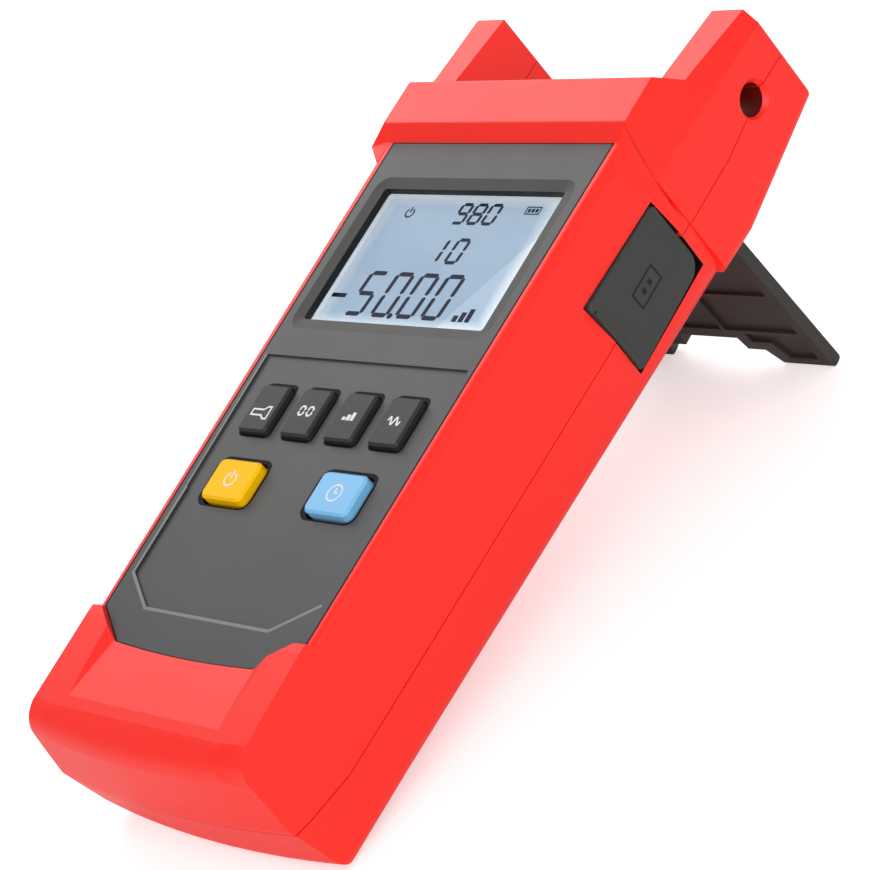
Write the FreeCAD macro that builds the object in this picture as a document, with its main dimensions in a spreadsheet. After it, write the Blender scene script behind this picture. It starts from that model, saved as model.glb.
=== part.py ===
import FreeCAD, Part
import math
import os
import re

import Sketcher
from FreeCAD import Placement, Rotation, Vector

# Handheld optical power meter, leaning on its open stand. Lengths are in millimetres.
# The case frame has x to the right, y up the case from the lower corners of the dark
# panel, and z out of the panel, with z = 0 on the panel's face. Every piece is drawn in
# that frame, and then placed as it stands: tilted about x, with the lowest point at zero.

SIZES = {
    # Middle of the case: half widths and depths at its two end sections
    "belly_low": (-4, "y of the lower end section"),
    "belly_high": (124, "y of the upper end section"),
    "rim_low_half": (33.6, "half width of the front face at the lower section"),
    "rim_high_half": (35.7, "half width of the front face at the upper section"),
    "side_slope": (0.12, "flare of the sides from the front face to their widest line"),
    "back_slope": (0.05, "draw-in of the sides from there to the back"),
    "side_depth": (22, "depth of the widest line behind the panel's face"),
    "back_low_depth": (36, "depth of the back at the lower section"),
    "back_high_depth": (39.6, "depth of the back at the upper section"),
    "rim_round": (2.0, "rounding of the front edges beside the panel"),
    "back_round": (5.0, "rounding of the back edges"),
    "wall": (2.2, "wall of the case"),
    "head_wall": (3.5, "wall behind the space in the head"),
    # Head block with its two horns
    "head_base": (120.6, "y where the head stands out from the sides"),
    "band_low": (121.9, "y where the band above the panel starts to rise"),
    "crest": (125.0, "y of the crest in front"),
    "crest_rise": (3.0, "height of the crest above the panel's face"),
    "ridge": (136.8, "y of the head's upper front edge"),
    "shelf": (141.6, "y of the shelf between the horns"),
    "shelf_depth": (3.4, "depth of the front face at the foot of the horns"),
    "horn_tip": (163.2, "y of the horn tips"),
    "horn_front_depth": (5.8, "depth of the front face at the horn tips"),
    "horn_back_depth": (33.0, "depth of the back at the horn tips"),
    "horn_inner_half": (31.0, "half of the clear width between the horns"),
    "head_front_half": (36.2, "half width of the head's front face"),
    "head_low_half": (38.5, "half width of the head at its base"),
    "head_high_half": (41.2, "half width of the head at the horn tips"),
    "facet_depth": (10.0, "depth of the rear edge of the corner facets"),
    "head_back_depth": (39.3, "depth of the head's back"),
    "head_back_bend": (132.0, "y where the head's back starts to lean forward"),
    "head_round": (2.6, "rounding of the head's rear edges"),
    "head_soft": (0.8, "rounding of the head's other edges"),
    "strap_hole": (3.6, "radius of the strap hole through the right horn"),
    "strap_hole_y": (150.6, "y of the strap hole"),
    "strap_hole_depth": (19.8, "depth of the strap hole's axis"),
    "strap_mouth": (1.4, "widening of the strap hole's outer mouth"),
    # Foot block
    "foot_high": (-1.2, "y of the foot's upper edge"),
    "foot_high_rise": (1.7, "height of the foot's upper edge above the panel's face"),
    "foot_crease": (5.7, "y where the foot's upper edge meets the side"),
    "foot_nose": (-24.0, "y where the front face starts to round off"),
    "foot_nose_rise": (1.4, "height of the front face there"),
    "foot_front_half": (33.1, "half width of the foot's front face"),
    "foot_side_half": (35.0, "half width of the foot at the rear edge of its corner facets"),
    "foot_facet_depth": (9.0, "depth of the rear edge of the foot's corner facets"),
    "foot_end": (-33.2, "y of the foot's end on its middle line, at the parting line"),
    "foot_corner": (-30.7, "y of the foot's end at its corners, at the parting line"),
    "front_draft": (0.17, "draft of the foot's end in front of the parting line"),
    "rear_draft": (0.12, "draft of the foot's end behind the parting line"),
    "foot_nose_round": (6.0, "rounding of the front lower edge"),
    "heel_round": (8.0, "rounding of the rear lower edge"),
    "dish_depth": (0.1, "drop of the foot's middle face below its sides' line, at the panel"),
    "dish_low": (-21.5, "y where the middle face runs out"),
    "dish_half": (21.6, "half width of the middle face at the panel"),
    "dish_low_half": (23.6, "half width of the middle face where it runs out"),
    # Parting line between the two shells
    "parting_reveal": (0.25, "open joint between the shells"),
    "parting_foot_depth": (16.0, "depth of the parting line at the foot's end"),
    "parting_low_depth": (21.3, "depth of the parting line above the foot"),
    "parting_high_depth": (23.4, "depth of the parting line at the head's base"),
    "parting_horn_depth": (19.3, "depth of the parting line on the horns"),
    # Front panel
    "panel_top": (121.9, "y of the panel's top edge"),
    "panel_top_half": (33.0, "half width of the panel's top edge"),
    "panel_low_half": (31.35, "half width of the panel at y = 0"),
    "panel_foot": (-7.4, "y of the panel's lower corners"),
    "panel_foot_half": (21.4, "half width between the panel's lower corners"),
    "panel_bow": (0.9, "bow of the panel's lower edge"),
    "panel_thick": (2.2, "thickness of the panel"),
    "panel_seam": (0.15, "gap round the panel"),
    "ledge_thick": (1.6, "front wall of the shell behind the panel"),
    "opening_half": (27.2, "half width of the display's opening"),
    "opening_low": (74.1, "y of the opening's lower edge"),
    "opening_high": (109.5, "y of the opening's upper edge"),
    "opening_round": (0.8, "corner radius of the opening"),
    "bevel_wide": (2.8, "width of the shallow bevel round the opening"),
    "bevel_deep": (0.5, "depth of the bevel at the opening"),
    "deck_high": (64.2, "y of the upper edge of the sunken key deck"),
    "deck_high_half": (30.6, "half width of the key deck at its upper edge"),
    "deck_low": (8.4, "y of the key deck's lower side corners"),
    "deck_low_half": (29.4, "half width of the key deck there"),
    "deck_foot": (1.0, "y of the key deck's lower edge"),
    "deck_foot_half": (19.2, "half width of the key deck's lower edge"),
    "deck_depth": (0.5, "depth of the key deck"),
    # Display stack
    "window_lap": (1.0, "lap of the window under the panel"),
    "window_thick": (0.8, "thickness of the window and of the foam frame round it"),
    "gasket_gap": (0.2, "gap between the window and the foam frame"),
    "display_lap": (2.7, "lap of the foam frame and the display under the panel"),
    "display_thick": (2.0, "thickness of the display"),
    "light_thick": (4.4, "thickness of the light guide"),
    "board_thick": (1.6, "thickness of the circuit boards"),
    "stack_gap": (0.4, "gap round the display stack in the front wall"),
    # Keys
    "key_pitch": (13.35, "spacing of the four small keys"),
    "key_half": (4.35, "half width of a small key"),
    "key_y": (50.2, "y of the small keys"),
    "key_half_high": (5.85, "half height of a small key"),
    "key_corner": (1.0, "corner radius of the small keys"),
    "key_rise": (1.0, "height of the small keys above the panel's face"),
    "key_gap": (0.3, "gap between a small key and its hole"),
    "key_edge": (0.5, "softened top edge of the keys"),
    "big_key_x": (16.1, "distance of the coloured keys from the middle"),
    "big_key_y": (32.2, "y of the coloured keys"),
    "big_key_half": (6.5, "half width of a coloured key"),
    "big_key_half_high": (4.9, "half height of a coloured key"),
    "big_key_corner": (1.6, "corner radius of the coloured keys"),
    "big_key_rise": (1.3, "height of the coloured keys above the panel's face"),
    "big_key_gap": (0.7, "gap between a coloured key and its hole"),
    "flange_lap": (1.0, "lap of a key's flange under the panel"),
    "flange_gap": (0.3, "gap between the flange and the panel"),
    "flange_thick": (1.0, "thickness of a key's flange"),
    "key_travel": (0.6, "travel of a key"),
    "dome_gap": (0.1, "gap left under a key that is pressed"),
    "pad_low": (22.0, "y of the lower edge of the key mat"),
    "pad_high": (60.0, "y of the upper edge of the key mat"),
    "pad_half": (27.6, "half width of the key mat"),
    "pad_thick": (1.2, "thickness of the key mat"),
    "dome_radius": (3.0, "radius of the mat's domes"),
    # Boards
    "board_low": (-6.0, "y of the main board's lower edge"),
    "board_high": (126.0, "y of the main board's upper edge"),
    "board_half": (30.8, "half width of the main board"),
    "post_x": (26.8, "distance of the main board's posts from the middle"),
    "post_radius": (2.3, "radius of the main board's posts"),
    "post_low": (14.0, "y of the lower pair of posts"),
    "post_mid": (65.4, "y of the middle pair of posts"),
    "post_high": (118.4, "y of the upper pair of posts"),
    "rear_board_low": (84.0, "y of the rear board's lower edge"),
    "rear_board_half": (30.0, "half width of the rear board"),
    "rear_board_depth": (24.5, "depth of the rear board's back face"),
    "rear_post_x": (26.0, "distance of the rear board's posts from the middle"),
    "rear_post_low": (88.5, "y of the lower rear posts"),
    "rear_post_high": (122.0, "y of the upper rear posts"),
    "header_half": (10.0, "half width of the header between the boards"),
    "header_y": (120.0, "y of the header"),
    "header_thick": (2.5, "thickness of the header"),
    "chip_half": (4.0, "half width of a chip"),
    "chip_thick": (1.2, "thickness of a chip"),
    # Small screws, shared by the boards
    "small_head": (1.9, "radius of the board screws' heads"),
    "small_head_high": (1.2, "height of the board screws' heads"),
    "small_shank": (0.9, "radius of the board screws' shanks"),
    "small_length": (5.0, "length of the board screws' shanks"),
    "screw_clear": (0.05, "radial clearance of the screws"),
    # Case screws
    "screw_head": (2.6, "radius of the case screws' heads"),
    "screw_head_high": (2.0, "height of the case screws' heads"),
    "screw_shank": (1.3, "radius of the case screws' shanks"),
    "screw_length": (18.0, "length of the case screws' shanks"),
    "screw_recess": (31.0, "depth of the faces that the case screws' heads bear on"),
    "head_gap": (0.3, "radial gap round the case screws' heads"),
    "boss_radius": (3.6, "radius of the case bosses"),
    "boss_low_x": (27.0, "distance of the lower case bosses from the middle"),
    "boss_low_y": (-15.0, "y of the lower case bosses"),
    "boss_high_x": (33.6, "distance of the upper case bosses from the middle"),
    "boss_high_y": (138.0, "y of the upper case bosses"),
    # Stand
    "stand_y": (131.0, "y of the stand's axis"),
    "stand_depth": (37.3, "depth of the stand's axis"),
    "stand_open": (92.0, "angle between the open stand and the case, in degrees"),
    "stand_length": (49.2, "length of the stand from its axis"),
    "stand_half": (31.0, "half width of the stand"),
    "barrel": (2.0, "radius of the stand's barrel"),
    "stand_thick": (3.0, "thickness of the stand's leg"),
    "stand_rim": (2.8, "width of the leg's raised rim"),
    "stand_sink": (0.8, "depth of the leg's sunken fields"),
    "rib_width": (1.1, "width of the leg's ribs"),
    "rib_near": (24.0, "distance of the first cross rib from the axis"),
    "rib_far": (37.6, "distance of the second cross rib from the axis"),
    "rib_x": (6.6, "distance of the lengthwise ribs from the middle"),
    "toe_half": (17.2, "half width between the two toes"),
    "toe_slope": (2.8, "run of the slopes beside the toes"),
    "notch_step": (5.2, "length of the toes"),
    "notch_half": (9.4, "half width of the inner notch"),
    "notch_slope": (0.7, "run of the inner notch's slopes"),
    "notch_depth": (9.2, "depth of the inner notch"),
    "toe_round": (0.9, "rounding of the toes"),
    "pin_radius": (1.4, "radius of the stand's pins"),
    "pin_length": (1.8, "length of the stand's pins"),
    "pin_clear": (0.05, "radial clearance of the pins"),
    "stand_gap": (0.35, "gap round the stand"),
    "stand_pocket": (4.5, "depth of the stand's recess in the back"),
    "pocket_wall": (1.6, "floor and walls of the stand's recess"),
    "scoop_radius": (8.5, "radius of the finger scoop"),
    # Battery bay
    "cell_radius": (7.25, "radius of a cell"),
    "cell_length": (49.2, "length of a cell's can"),
    "cell_pitch": (14.8, "spacing of the cells"),
    "cell_nub": (2.75, "radius of a cell's positive nub"),
    "nub_length": (1.2, "length of the nub"),
    "cell_low": (13.6, "y of the cells' flat ends"),
    "cell_gap": (0.3, "gap round the cells"),
    "bay_floor": (19.0, "depth of the bay's floor"),
    "bay_low": (9.6, "y of the bay's lower wall"),
    "bay_wall": (1.5, "wall of the bay"),
    "plate_thick": (0.5, "thickness of the contact plates"),
    "contact_half": (5.0, "half width of a contact"),
    "door_thick": (2.0, "thickness of the battery door"),
    "door_lap": (1.9, "lap of the door beyond the bay"),
    "door_high": (74.4, "y of the door's upper edge"),
    "door_gap": (0.15, "gap round the door"),
    "door_corner": (2.5, "corner radius of the door"),
    "tab_x": (14.0, "distance of the door's tabs from the middle"),
    "tab_half": (4.0, "half width of a tab"),
    "tab_length": (1.8, "length of a tab"),
    "tab_thick": (1.0, "thickness of a tab"),
    "door_screw_y": (70.2, "y of the door's screw"),
    "door_screw_length": (7.0, "length of the door screw's shank"),
    "door_web": (0.7, "wall of the door under the screw's head"),
    # Side cover and its socket
    "cover_low": (89.6, "y of the side cover's lower edge"),
    "cover_high": (117.0, "y of the side cover's upper edge"),
    "cover_front": (12.9, "depth of the side cover's front edge"),
    "cover_back": (32.3, "depth of the side cover's rear edge"),
    "cover_flare": (0.6, "widening of the side cover towards its lower edge"),
    "cover_face": (37.7, "x of the side cover's face"),
    "cover_thick": (1.7, "thickness of the side cover"),
    "cover_round": (4.5, "radius of the side cover's large corner"),
    "cover_corner": (1.4, "radius of its other corners"),
    "cover_gap": (0.3, "gap round the side cover"),
    "lip": (1.0, "width of the finger lip at the cover's lower edge"),
    "lip_rise": (0.5, "height of the finger lip"),
    "plug_half": (4.4, "half length of the cover's plug"),
    "plug_half_high": (2.2, "half height of the cover's plug"),
    "plug_length": (1.6, "length of the cover's plug"),
    "plug_gap": (1.4, "gap round the cover's plug"),
    "socket_y": (103.4, "y of the socket"),
    "socket_mouth": (33.4, "x of the socket's mouth"),
    "socket_half": (3.85, "half width of the socket's shell"),
    "socket_high": (3.9, "height of the socket's shell"),
    "socket_long": (9.2, "length of the socket"),
    "socket_wall": (0.4, "wall of the socket's shell"),
    "socket_cavity": (6.5, "depth of the socket's cavity"),
    # Optical port
    "port_depth": (21.0, "depth of the port's axis"),
    "port_flange": (7.0, "radius of the port's flange"),
    "port_flange_thick": (1.4, "thickness of the port's flange"),
    "port_barrel": (4.0, "radius of the threaded barrel"),
    "port_reach": (8.2, "length of the barrel above the shelf"),
    "port_inner": (3.1, "radius of the ring space in the barrel"),
    "port_ring_depth": (5.5, "depth of the ring space"),
    "port_key": (2.1, "width of the barrel's keyway"),
    "port_neck": (4.8, "radius of the neck through the shell"),
    "port_tail": (5.0, "length of the neck behind the shelf"),
    "sleeve_bore": (1.25, "radius of the ferrule bore"),
    "sleeve_wall": (0.6, "wall of the ferrule sleeve"),
    "sleeve_length": (9.0, "length of the ferrule sleeve"),
    "light_hole": (0.9, "radius of the light's way from the sleeve to the detector"),
    "sleeve_set": (0.5, "distance of the sleeve's mouth behind the barrel's"),
    "nut_flats": (14.0, "width across flats of the port's nut"),
    "nut_thick": (2.4, "thickness of the port's nut"),
    "detector_radius": (2.7, "radius of the detector's can"),
    "detector_base": (3.4, "radius of the detector's base"),
    "detector_length": (2.6, "length of the detector's can"),
    "detector_base_thick": (0.9, "thickness of the detector's base"),
    "carrier_half": (7.0, "half width of the detector's carrier board"),
    "carrier_thick": (1.2, "thickness of the carrier board"),
    "carrier_high": (14.0, "height of the carrier board"),
}

doc = FreeCAD.newDocument("power_meter")
sheet = doc.addObject("Spreadsheet::Sheet", "Sizes")
for row, (name, (number, meaning)) in enumerate(SIZES.items(), start=1):
    sheet.set(f"A{row}", name)
    sheet.set(f"B{row}", str(number))
    sheet.setAlias(f"B{row}", name)
    sheet.set(f"C{row}", meaning)
doc.recompute()


def bound(text):
    """The expression text, with the names of sizes looked up on the sheet."""
    return re.sub(r"[a-z_]+", lambda m: "Sizes." + m[0] if m[0] in SIZES else m[0], text)


def size(text):
    """The number that an expression over the sizes gives."""
    return float(sheet.evalExpression(bound(text)))


HIDDEN_SIDES = 6
TURNS = {
    "XY": Rotation(),
    "YZ": Rotation(Vector(1, 1, 1), 120),
    "XZ": Rotation(Vector(1, 0, 0), 90),
}
NORMAL_AXIS = {"XY": "z", "YZ": "x", "XZ": "y"}


def plane_sketch(name, plane, offset):
    """A sketch of its own, parallel to a principal plane at the given coordinate."""
    sketch = doc.addObject("Sketcher::SketchObject", name)
    sketch.Placement = Placement(Vector(), TURNS[plane])
    sketch.setExpression("Placement.Base." + NORMAL_AXIS[plane], bound(offset))
    return sketch


def body_sketch(body, name, plane, offset):
    """A sketch in a body, on one of its origin planes, moved to the given coordinate."""
    sketch = body.newObject("Sketcher::SketchObject", name)
    planes = {item.Role: item for item in body.Origin.OriginFeatures}
    sketch.AttachmentSupport = [(planes[plane + "_Plane"], "")]
    sketch.MapMode = "FlatFace"
    along_normal = f"-({offset})" if plane == "XZ" else offset
    sketch.setExpression("AttachmentOffset.Base.z", bound(along_normal))
    return sketch


def hold(sketch, item, end, place):
    """Holds a point of the sketch at a pair of expressions."""
    for kind, text in zip(("DistanceX", "DistanceY"), place):
        index = sketch.addConstraint(Sketcher.Constraint(kind, -1, 1, item, end, size(text)))
        sketch.setExpression(f"Constraints[{index}]", bound(text))


def outline(sketch, corners, bows=None):
    """Draws a closed outline. A bow turns the edge after a corner into an arc by its middle."""
    bows = bows or {}
    spots = [Vector(size(u), size(v), 0) for u, v in corners]
    first = sketch.GeometryCount
    count = len(corners)
    for index, start in enumerate(spots):
        stop = spots[(index + 1) % count]
        if index in bows:
            middle = Vector(size(bows[index][0]), size(bows[index][1]), 0)
            sketch.addGeometry(Part.Arc(start, middle, stop), False)
        else:
            sketch.addGeometry(Part.LineSegment(start, stop), False)
    for index in range(count):
        here, following = first + index, first + (index + 1) % count
        start_end, stop_end = 1, 2
        next_start = 1
        if index in bows:
            start_end, stop_end = arc_ends(sketch, here, spots[index])
        if (index + 1) % count in bows:
            next_start = arc_ends(sketch, following, spots[(index + 1) % count])[0]
        sketch.addConstraint(
            Sketcher.Constraint("Coincident", here, stop_end, following, next_start))
        hold(sketch, here, start_end, corners[index])
    for index, middle in bows.items():
        point = sketch.addGeometry(Part.Point(Vector(size(middle[0]), size(middle[1]), 0)), True)
        sketch.addConstraint(Sketcher.Constraint("PointOnObject", point, 1, first + index))
        hold(sketch, point, 1, middle)


def arc_ends(sketch, item, start):
    """Which end of an arc lies at the start of its edge, and which at its stop."""
    near = (sketch.getPoint(item, 1) - start).Length < (sketch.getPoint(item, 2) - start).Length
    return (1, 2) if near else (2, 1)


def mirrored(right_side):
    """A closed outline from the corners of its right side."""
    left_side = [(f"-({u})", v) for u, v in reversed(right_side) if size(u) != 0]
    return right_side + left_side


def rectangle(sketch, left, right, low, high):
    outline(sketch, [(left, low), (right, low), (right, high), (left, high)])


def circle(sketch, centre, radius):
    spot = Vector(size(centre[0]), size(centre[1]), 0)
    item = sketch.addGeometry(Part.Circle(spot, Vector(0, 0, 1), size(radius)), False)
    index = sketch.addConstraint(Sketcher.Constraint("Radius", item, size(radius)))
    sketch.setExpression(f"Constraints[{index}]", bound(radius))
    hold(sketch, item, 3, centre)


def discs(sketch, places, radius, hidden=False):
    """A circle at each place. Hidden ones have flat sides."""
    for x, y in places:
        if not hidden:
            circle(sketch, (x, y), radius)
            continue
        turns = [360 / HIDDEN_SIDES * (step + 0.5) for step in range(HIDDEN_SIDES)]
        outline(sketch, [(f"{x} + ({radius}) * cos({turn})", f"{y} + ({radius}) * sin({turn})")
                         for turn in turns])


def new_body(name):
    body = doc.addObject("PartDesign::Body", name)
    body.Label = name
    return body


def add(body, sketch, length, reverse=False, symmetric=False, taper=None):
    """Pads a sketch. Its length runs along the plane's normal, or against it if reversed."""
    feature = body.newObject("PartDesign::Pad", sketch.Name + "_pad")
    return finish_feature(feature, sketch, length, reverse, symmetric, taper)


def cut(body, sketch, length, reverse=False, symmetric=False, taper=None):
    """Pockets a sketch. Its depth runs against the plane's normal, or along it if reversed."""
    feature = body.newObject("PartDesign::Pocket", sketch.Name + "_cut")
    return finish_feature(feature, sketch, length, reverse, symmetric, taper)


def finish_feature(feature, sketch, length, reverse, symmetric, taper):
    before = feature.BaseFeature.Shape.Volume if feature.BaseFeature else 0
    feature.Profile = sketch
    feature.setExpression("Length", bound(length))
    feature.Reversed = reverse
    if symmetric:
        feature.SideType = "Symmetric"
    if taper:
        feature.setExpression("TaperAngle", bound(taper))
    doc.recompute()
    grown = feature.Shape.Volume - before
    if abs(grown) < 0.01 or (grown > 0) == feature.isDerivedFrom("PartDesign::Pocket"):
        raise ValueError(f"{feature.Name} changes the volume by {grown:.3f}")
    return feature


def soften(body, name, radius, chosen, kind="Fillet", second=None):
    """Rounds or chamfers the edges of a body that a test chooses, or bevels them by two sizes."""
    doc.recompute()
    edges = [f"Edge{n}" for n, edge in enumerate(body.Tip.Shape.Edges, start=1) if chosen(edge)]
    if not edges:
        raise ValueError(f"{name} finds no edges")
    base = body.Tip
    feature = body.newObject("PartDesign::" + kind, name)
    feature.Base = (base, edges)
    feature.setExpression("Radius" if kind == "Fillet" else "Size", bound(radius))
    if second:
        feature.ChamferType = "Two distances"
        feature.setExpression("Size2", bound(second))
    doc.recompute()
    return feature


def points(edge):
    return [vertex.Point for vertex in edge.Vertexes]


def runs_along(edge, axis):
    """True for a straight edge parallel to an axis, given as 0, 1 or 2."""
    if len(edge.Vertexes) < 2 or edge.Curve.TypeId != "Part::GeomLine":
        return False
    run = edge.Vertexes[1].Point - edge.Vertexes[0].Point
    return abs(run[axis]) > 0.999 * run.Length


def all_at(edge, axis, level, slack=0.02):
    """True where the ends and the middle of an edge share one coordinate."""
    spots = points(edge) + [edge.CenterOfMass]
    return all(abs(spot[axis] - level) < slack for spot in spots)


def extruded(name, sketch, length, symmetric=False, reverse=False):
    """A solid swept from a sketch, outside any body."""
    solid = doc.addObject("Part::Extrusion", name)
    solid.Base = sketch
    solid.DirMode = "Normal"
    solid.Solid = True
    solid.Symmetric = symmetric
    solid.Reversed = reverse
    solid.setExpression("LengthFwd", bound(length))
    doc.recompute()
    return solid


def slanted(name, sketch, way, forward, backward="0"):
    """A solid swept from a sketch along a slanting way, given by its runs in x, y and z."""
    solid = doc.addObject("Part::Extrusion", name)
    solid.Base = sketch
    solid.DirMode = "Custom"
    solid.Solid = True
    for axis, run in zip("xyz", way):
        solid.setExpression("Dir." + axis, bound(run))
    solid.setExpression("LengthFwd", bound(forward))
    solid.setExpression("LengthRev", bound(backward))
    doc.recompute()
    return solid


def lofted(name, sections):
    """A solid with flat sides between two sections."""
    solid = doc.addObject("Part::Loft", name)
    solid.Sections = sections
    solid.Solid = True
    solid.Ruled = True
    solid.Linearize = True
    doc.recompute()
    return solid


def combined(kind, name, first, second):
    solid = doc.addObject("Part::" + kind, name)
    solid.Base = first
    solid.Tool = second
    doc.recompute()
    return solid


def rounded(name, base, choices):
    """Rounds edges of a solid outside any body. Each choice is a test and a radius."""
    solid = doc.addObject("Part::Fillet", name)
    solid.Base = base
    picked = []
    for chosen, radius in choices:
        for number, edge in enumerate(base.Shape.Edges, start=1):
            if chosen(edge):
                picked.append((number, size(radius), size(radius)))
    solid.Edges = picked
    doc.recompute()
    return solid


def section(name, y, right_side):
    """A cross section of the case at one y, from the corners of its right side."""
    sketch = plane_sketch(name, "XZ", y)
    outline(sketch, mirrored(right_side))
    return sketch


BACK_SLOPE = "((back_high_depth - back_low_depth) / (belly_high - belly_low))"


def back_depth(y):
    """The depth of the case's back at one y, as an expression."""
    return f"(back_low_depth + ({y} - belly_low) * {BACK_SLOPE})"


def side_half(rim):
    """Half width at the widest line of the section with that rim."""
    return f"({rim} + side_slope * side_depth)"


def side_back_half(rim, depth):
    """Half width of the back of that section, at that depth."""
    return f"({side_half(rim)} - back_slope * ({depth} - side_depth))"


def cavity_section(name, rim, y, depth):
    """A section of the space inside the middle of the case, one wall inside its sides."""
    front = "(panel_thick + ledge_thick)"
    return section(name, y, [
        (f"{rim} + side_slope * {front} - wall", f"-{front}"),
        (f"{side_half(rim)} - wall", "-side_depth"),
        (f"{side_back_half(rim, depth)} - wall", f"-({depth})")])


def make_belly():
    """The middle of the case: flat sides that widen upwards, and rounded long edges."""
    deep = "(back_high_depth + 1)"
    rim = "rim_low_half"
    right_side = [(rim, "0"), (side_half(rim), "-side_depth"),
                  (side_back_half(rim, deep), f"-{deep}")]
    halves = []
    for name, sign in (("right", ""), ("left", "-")):
        profile = plane_sketch(f"belly_{name}_profile", "XZ", "belly_low")
        beyond = "-head_high_half" if name == "right" else "head_high_half"
        outline(profile, [(f"{sign}({x})", z) for x, z in right_side]
                + [(beyond, f"-{deep}"), (beyond, "0")])
        widening = f"{sign}(rim_high_half - rim_low_half)"
        halves.append(slanted(f"belly_{name}", profile,
                              (widening, "belly_high - belly_low", "0"), "0"))
    sides = combined("Common", "belly_sides", *halves)
    profile = plane_sketch("belly_back_profile", "YZ", "0")
    outline(profile, [
        ("belly_low", "0"), ("belly_high", "0"),
        ("belly_high", "-back_high_depth"), ("belly_low", "-back_low_depth")])
    slab = extruded("belly_slab", profile, "4 * head_high_half", symmetric=True)
    blank = combined("Common", "belly_blank", sides, slab)

    def long_edge(edge, front):
        ends = points(edge)
        if abs(ends[0].y - ends[1].y) < 1:
            return False
        level = edge.CenterOfMass.z
        return level > -1 if front else level < -size("back_low_depth + 0.1")

    return rounded("belly", blank, [
        (lambda edge: long_edge(edge, True), "rim_round"),
        (lambda edge: long_edge(edge, False), "back_round")])


def make_head():
    """The head block with its crest, corner facets and two horns."""
    low = section("head_low_section", "head_base", [
        ("head_front_half", "crest_rise"),
        ("head_low_half", "-facet_depth"),
        ("head_low_half", "-head_back_depth")])
    high = section("head_high_section", "horn_tip", [
        ("head_front_half", "crest_rise"),
        ("head_high_half", "-facet_depth"),
        ("head_high_half", "-head_back_depth")])
    blank = lofted("head_blank", [low, high])
    profile = plane_sketch("head_profile", "YZ", "0")
    outline(profile, [
        ("head_base", "0"),
        ("band_low", "0"),
        ("crest", "crest_rise"),
        ("ridge", "crest_rise"),
        ("shelf", "-shelf_depth"),
        ("horn_tip", "-horn_front_depth"),
        ("horn_tip", "-horn_back_depth"),
        ("head_back_bend", "-head_back_depth"),
        ("head_base", "-head_back_depth")])
    slab = extruded("head_slab", profile, "4 * head_high_half", symmetric=True)
    block = combined("Common", "head_block", blank, slab)
    gap = plane_sketch("horn_gap_outline", "XY", "crest_rise")
    rectangle(gap, "-horn_inner_half", "horn_inner_half", "shelf", "horn_tip + wall")
    gap_tool = extruded("horn_gap", gap, "2 * head_back_depth", reverse=True)
    horned = combined("Cut", "horned_block", block, gap_tool)
    tip = size("horn_tip")

    def rear_edge(edge):
        """The rear edges of the head's sides and of the horns' outer faces."""
        middle = edge.CenterOfMass
        ends = points(edge)
        rises = abs(ends[0].y - ends[1].y) > 1
        return rises and abs(middle.x) > size("head_low_half") - 1 and middle.z < -30

    def tip_edge(edge):
        middle = edge.CenterOfMass
        return all_at(edge, 1, tip) and abs(middle.x) > size("horn_inner_half") - 0.1

    def front_edge(edge):
        """The crest, the ridge and the edges of the corner facets."""
        middle = edge.CenterOfMass
        at_level = all_at(edge, 2, size("crest_rise"))
        return at_level and (runs_along(edge, 0) or runs_along(edge, 1)) and middle.y > 120

    return rounded("head", horned, [
        (rear_edge, "head_round"),
        (tip_edge, "head_soft"),
        (front_edge, "head_soft")])


def make_foot():
    """The foot block: a bowed end with draft, rounded nose and heel, and corner facets."""
    plan = plane_sketch("foot_plan", "XY", "-parting_foot_depth")
    beyond = "(foot_side_half + 2)"
    outline(plan, [
        (beyond, "foot_crease + 3"), (f"-{beyond}", "foot_crease + 3"),
        (f"-{beyond}", "foot_corner"), (beyond, "foot_corner")],
        bows={2: ("0", "foot_end")})
    reach = "back_low_depth"
    drafted = combined(
        "Common", "foot_drafted",
        slanted("foot_front_end", plan, ("0", "-front_draft", "-1"), reach, reach),
        slanted("foot_rear_end", plan, ("0", "rear_draft", "-1"), reach, reach))
    profile = plane_sketch("foot_profile", "YZ", "0")
    outline(profile, [
        ("foot_high", "foot_high_rise"),
        ("foot_crease", "-foot_facet_depth"),
        ("belly_low", "-side_depth"),
        ("belly_low", "-back_low_depth"),
        ("foot_end - 1", f"-{back_depth('(foot_end - 1)')}"),
        ("foot_end - 1", "foot_nose_rise - 0.4"),
        ("foot_nose", "foot_nose_rise")])
    slab = extruded("foot_slab", profile, "4 * foot_side_half", symmetric=True)
    blank = combined("Common", "foot_blank", drafted, slab)
    end_low = size("foot_corner") + 4

    def end_edge(edge, front):
        middle = edge.CenterOfMass
        across = abs(edge.Vertexes[0].X - edge.Vertexes[-1].X) > 10
        level = middle.z > -10 if front else middle.z < -30
        return across and middle.y < end_low and level

    soft = rounded("foot_soft", blank, [
        (lambda edge: end_edge(edge, True), "foot_nose_round"),
        (lambda edge: end_edge(edge, False), "heel_round")])
    cross = section("foot_section", "belly_low", [
        ("foot_front_half", "foot_high_rise"),
        ("foot_side_half", "-foot_facet_depth"),
        (side_half("rim_low_half"), "-side_depth"),
        (side_back_half("rim_low_half", "back_low_depth"), "-back_low_depth")])
    bar = slanted("foot_bar_blank", cross, ("0", "-1", BACK_SLOPE), "back_low_depth",
                  "foot_crease + 6")

    def back_edge(edge):
        ends = points(edge)
        return abs(ends[0].y - ends[1].y) > 1 and edge.CenterOfMass.z < -size("side_depth + 5")

    round_bar = rounded("foot_bar", bar, [(back_edge, "back_round")])
    faceted = combined("Common", "foot_faceted", soft, round_bar)
    return combined("Cut", "foot", faceted, make_dish())


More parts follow.
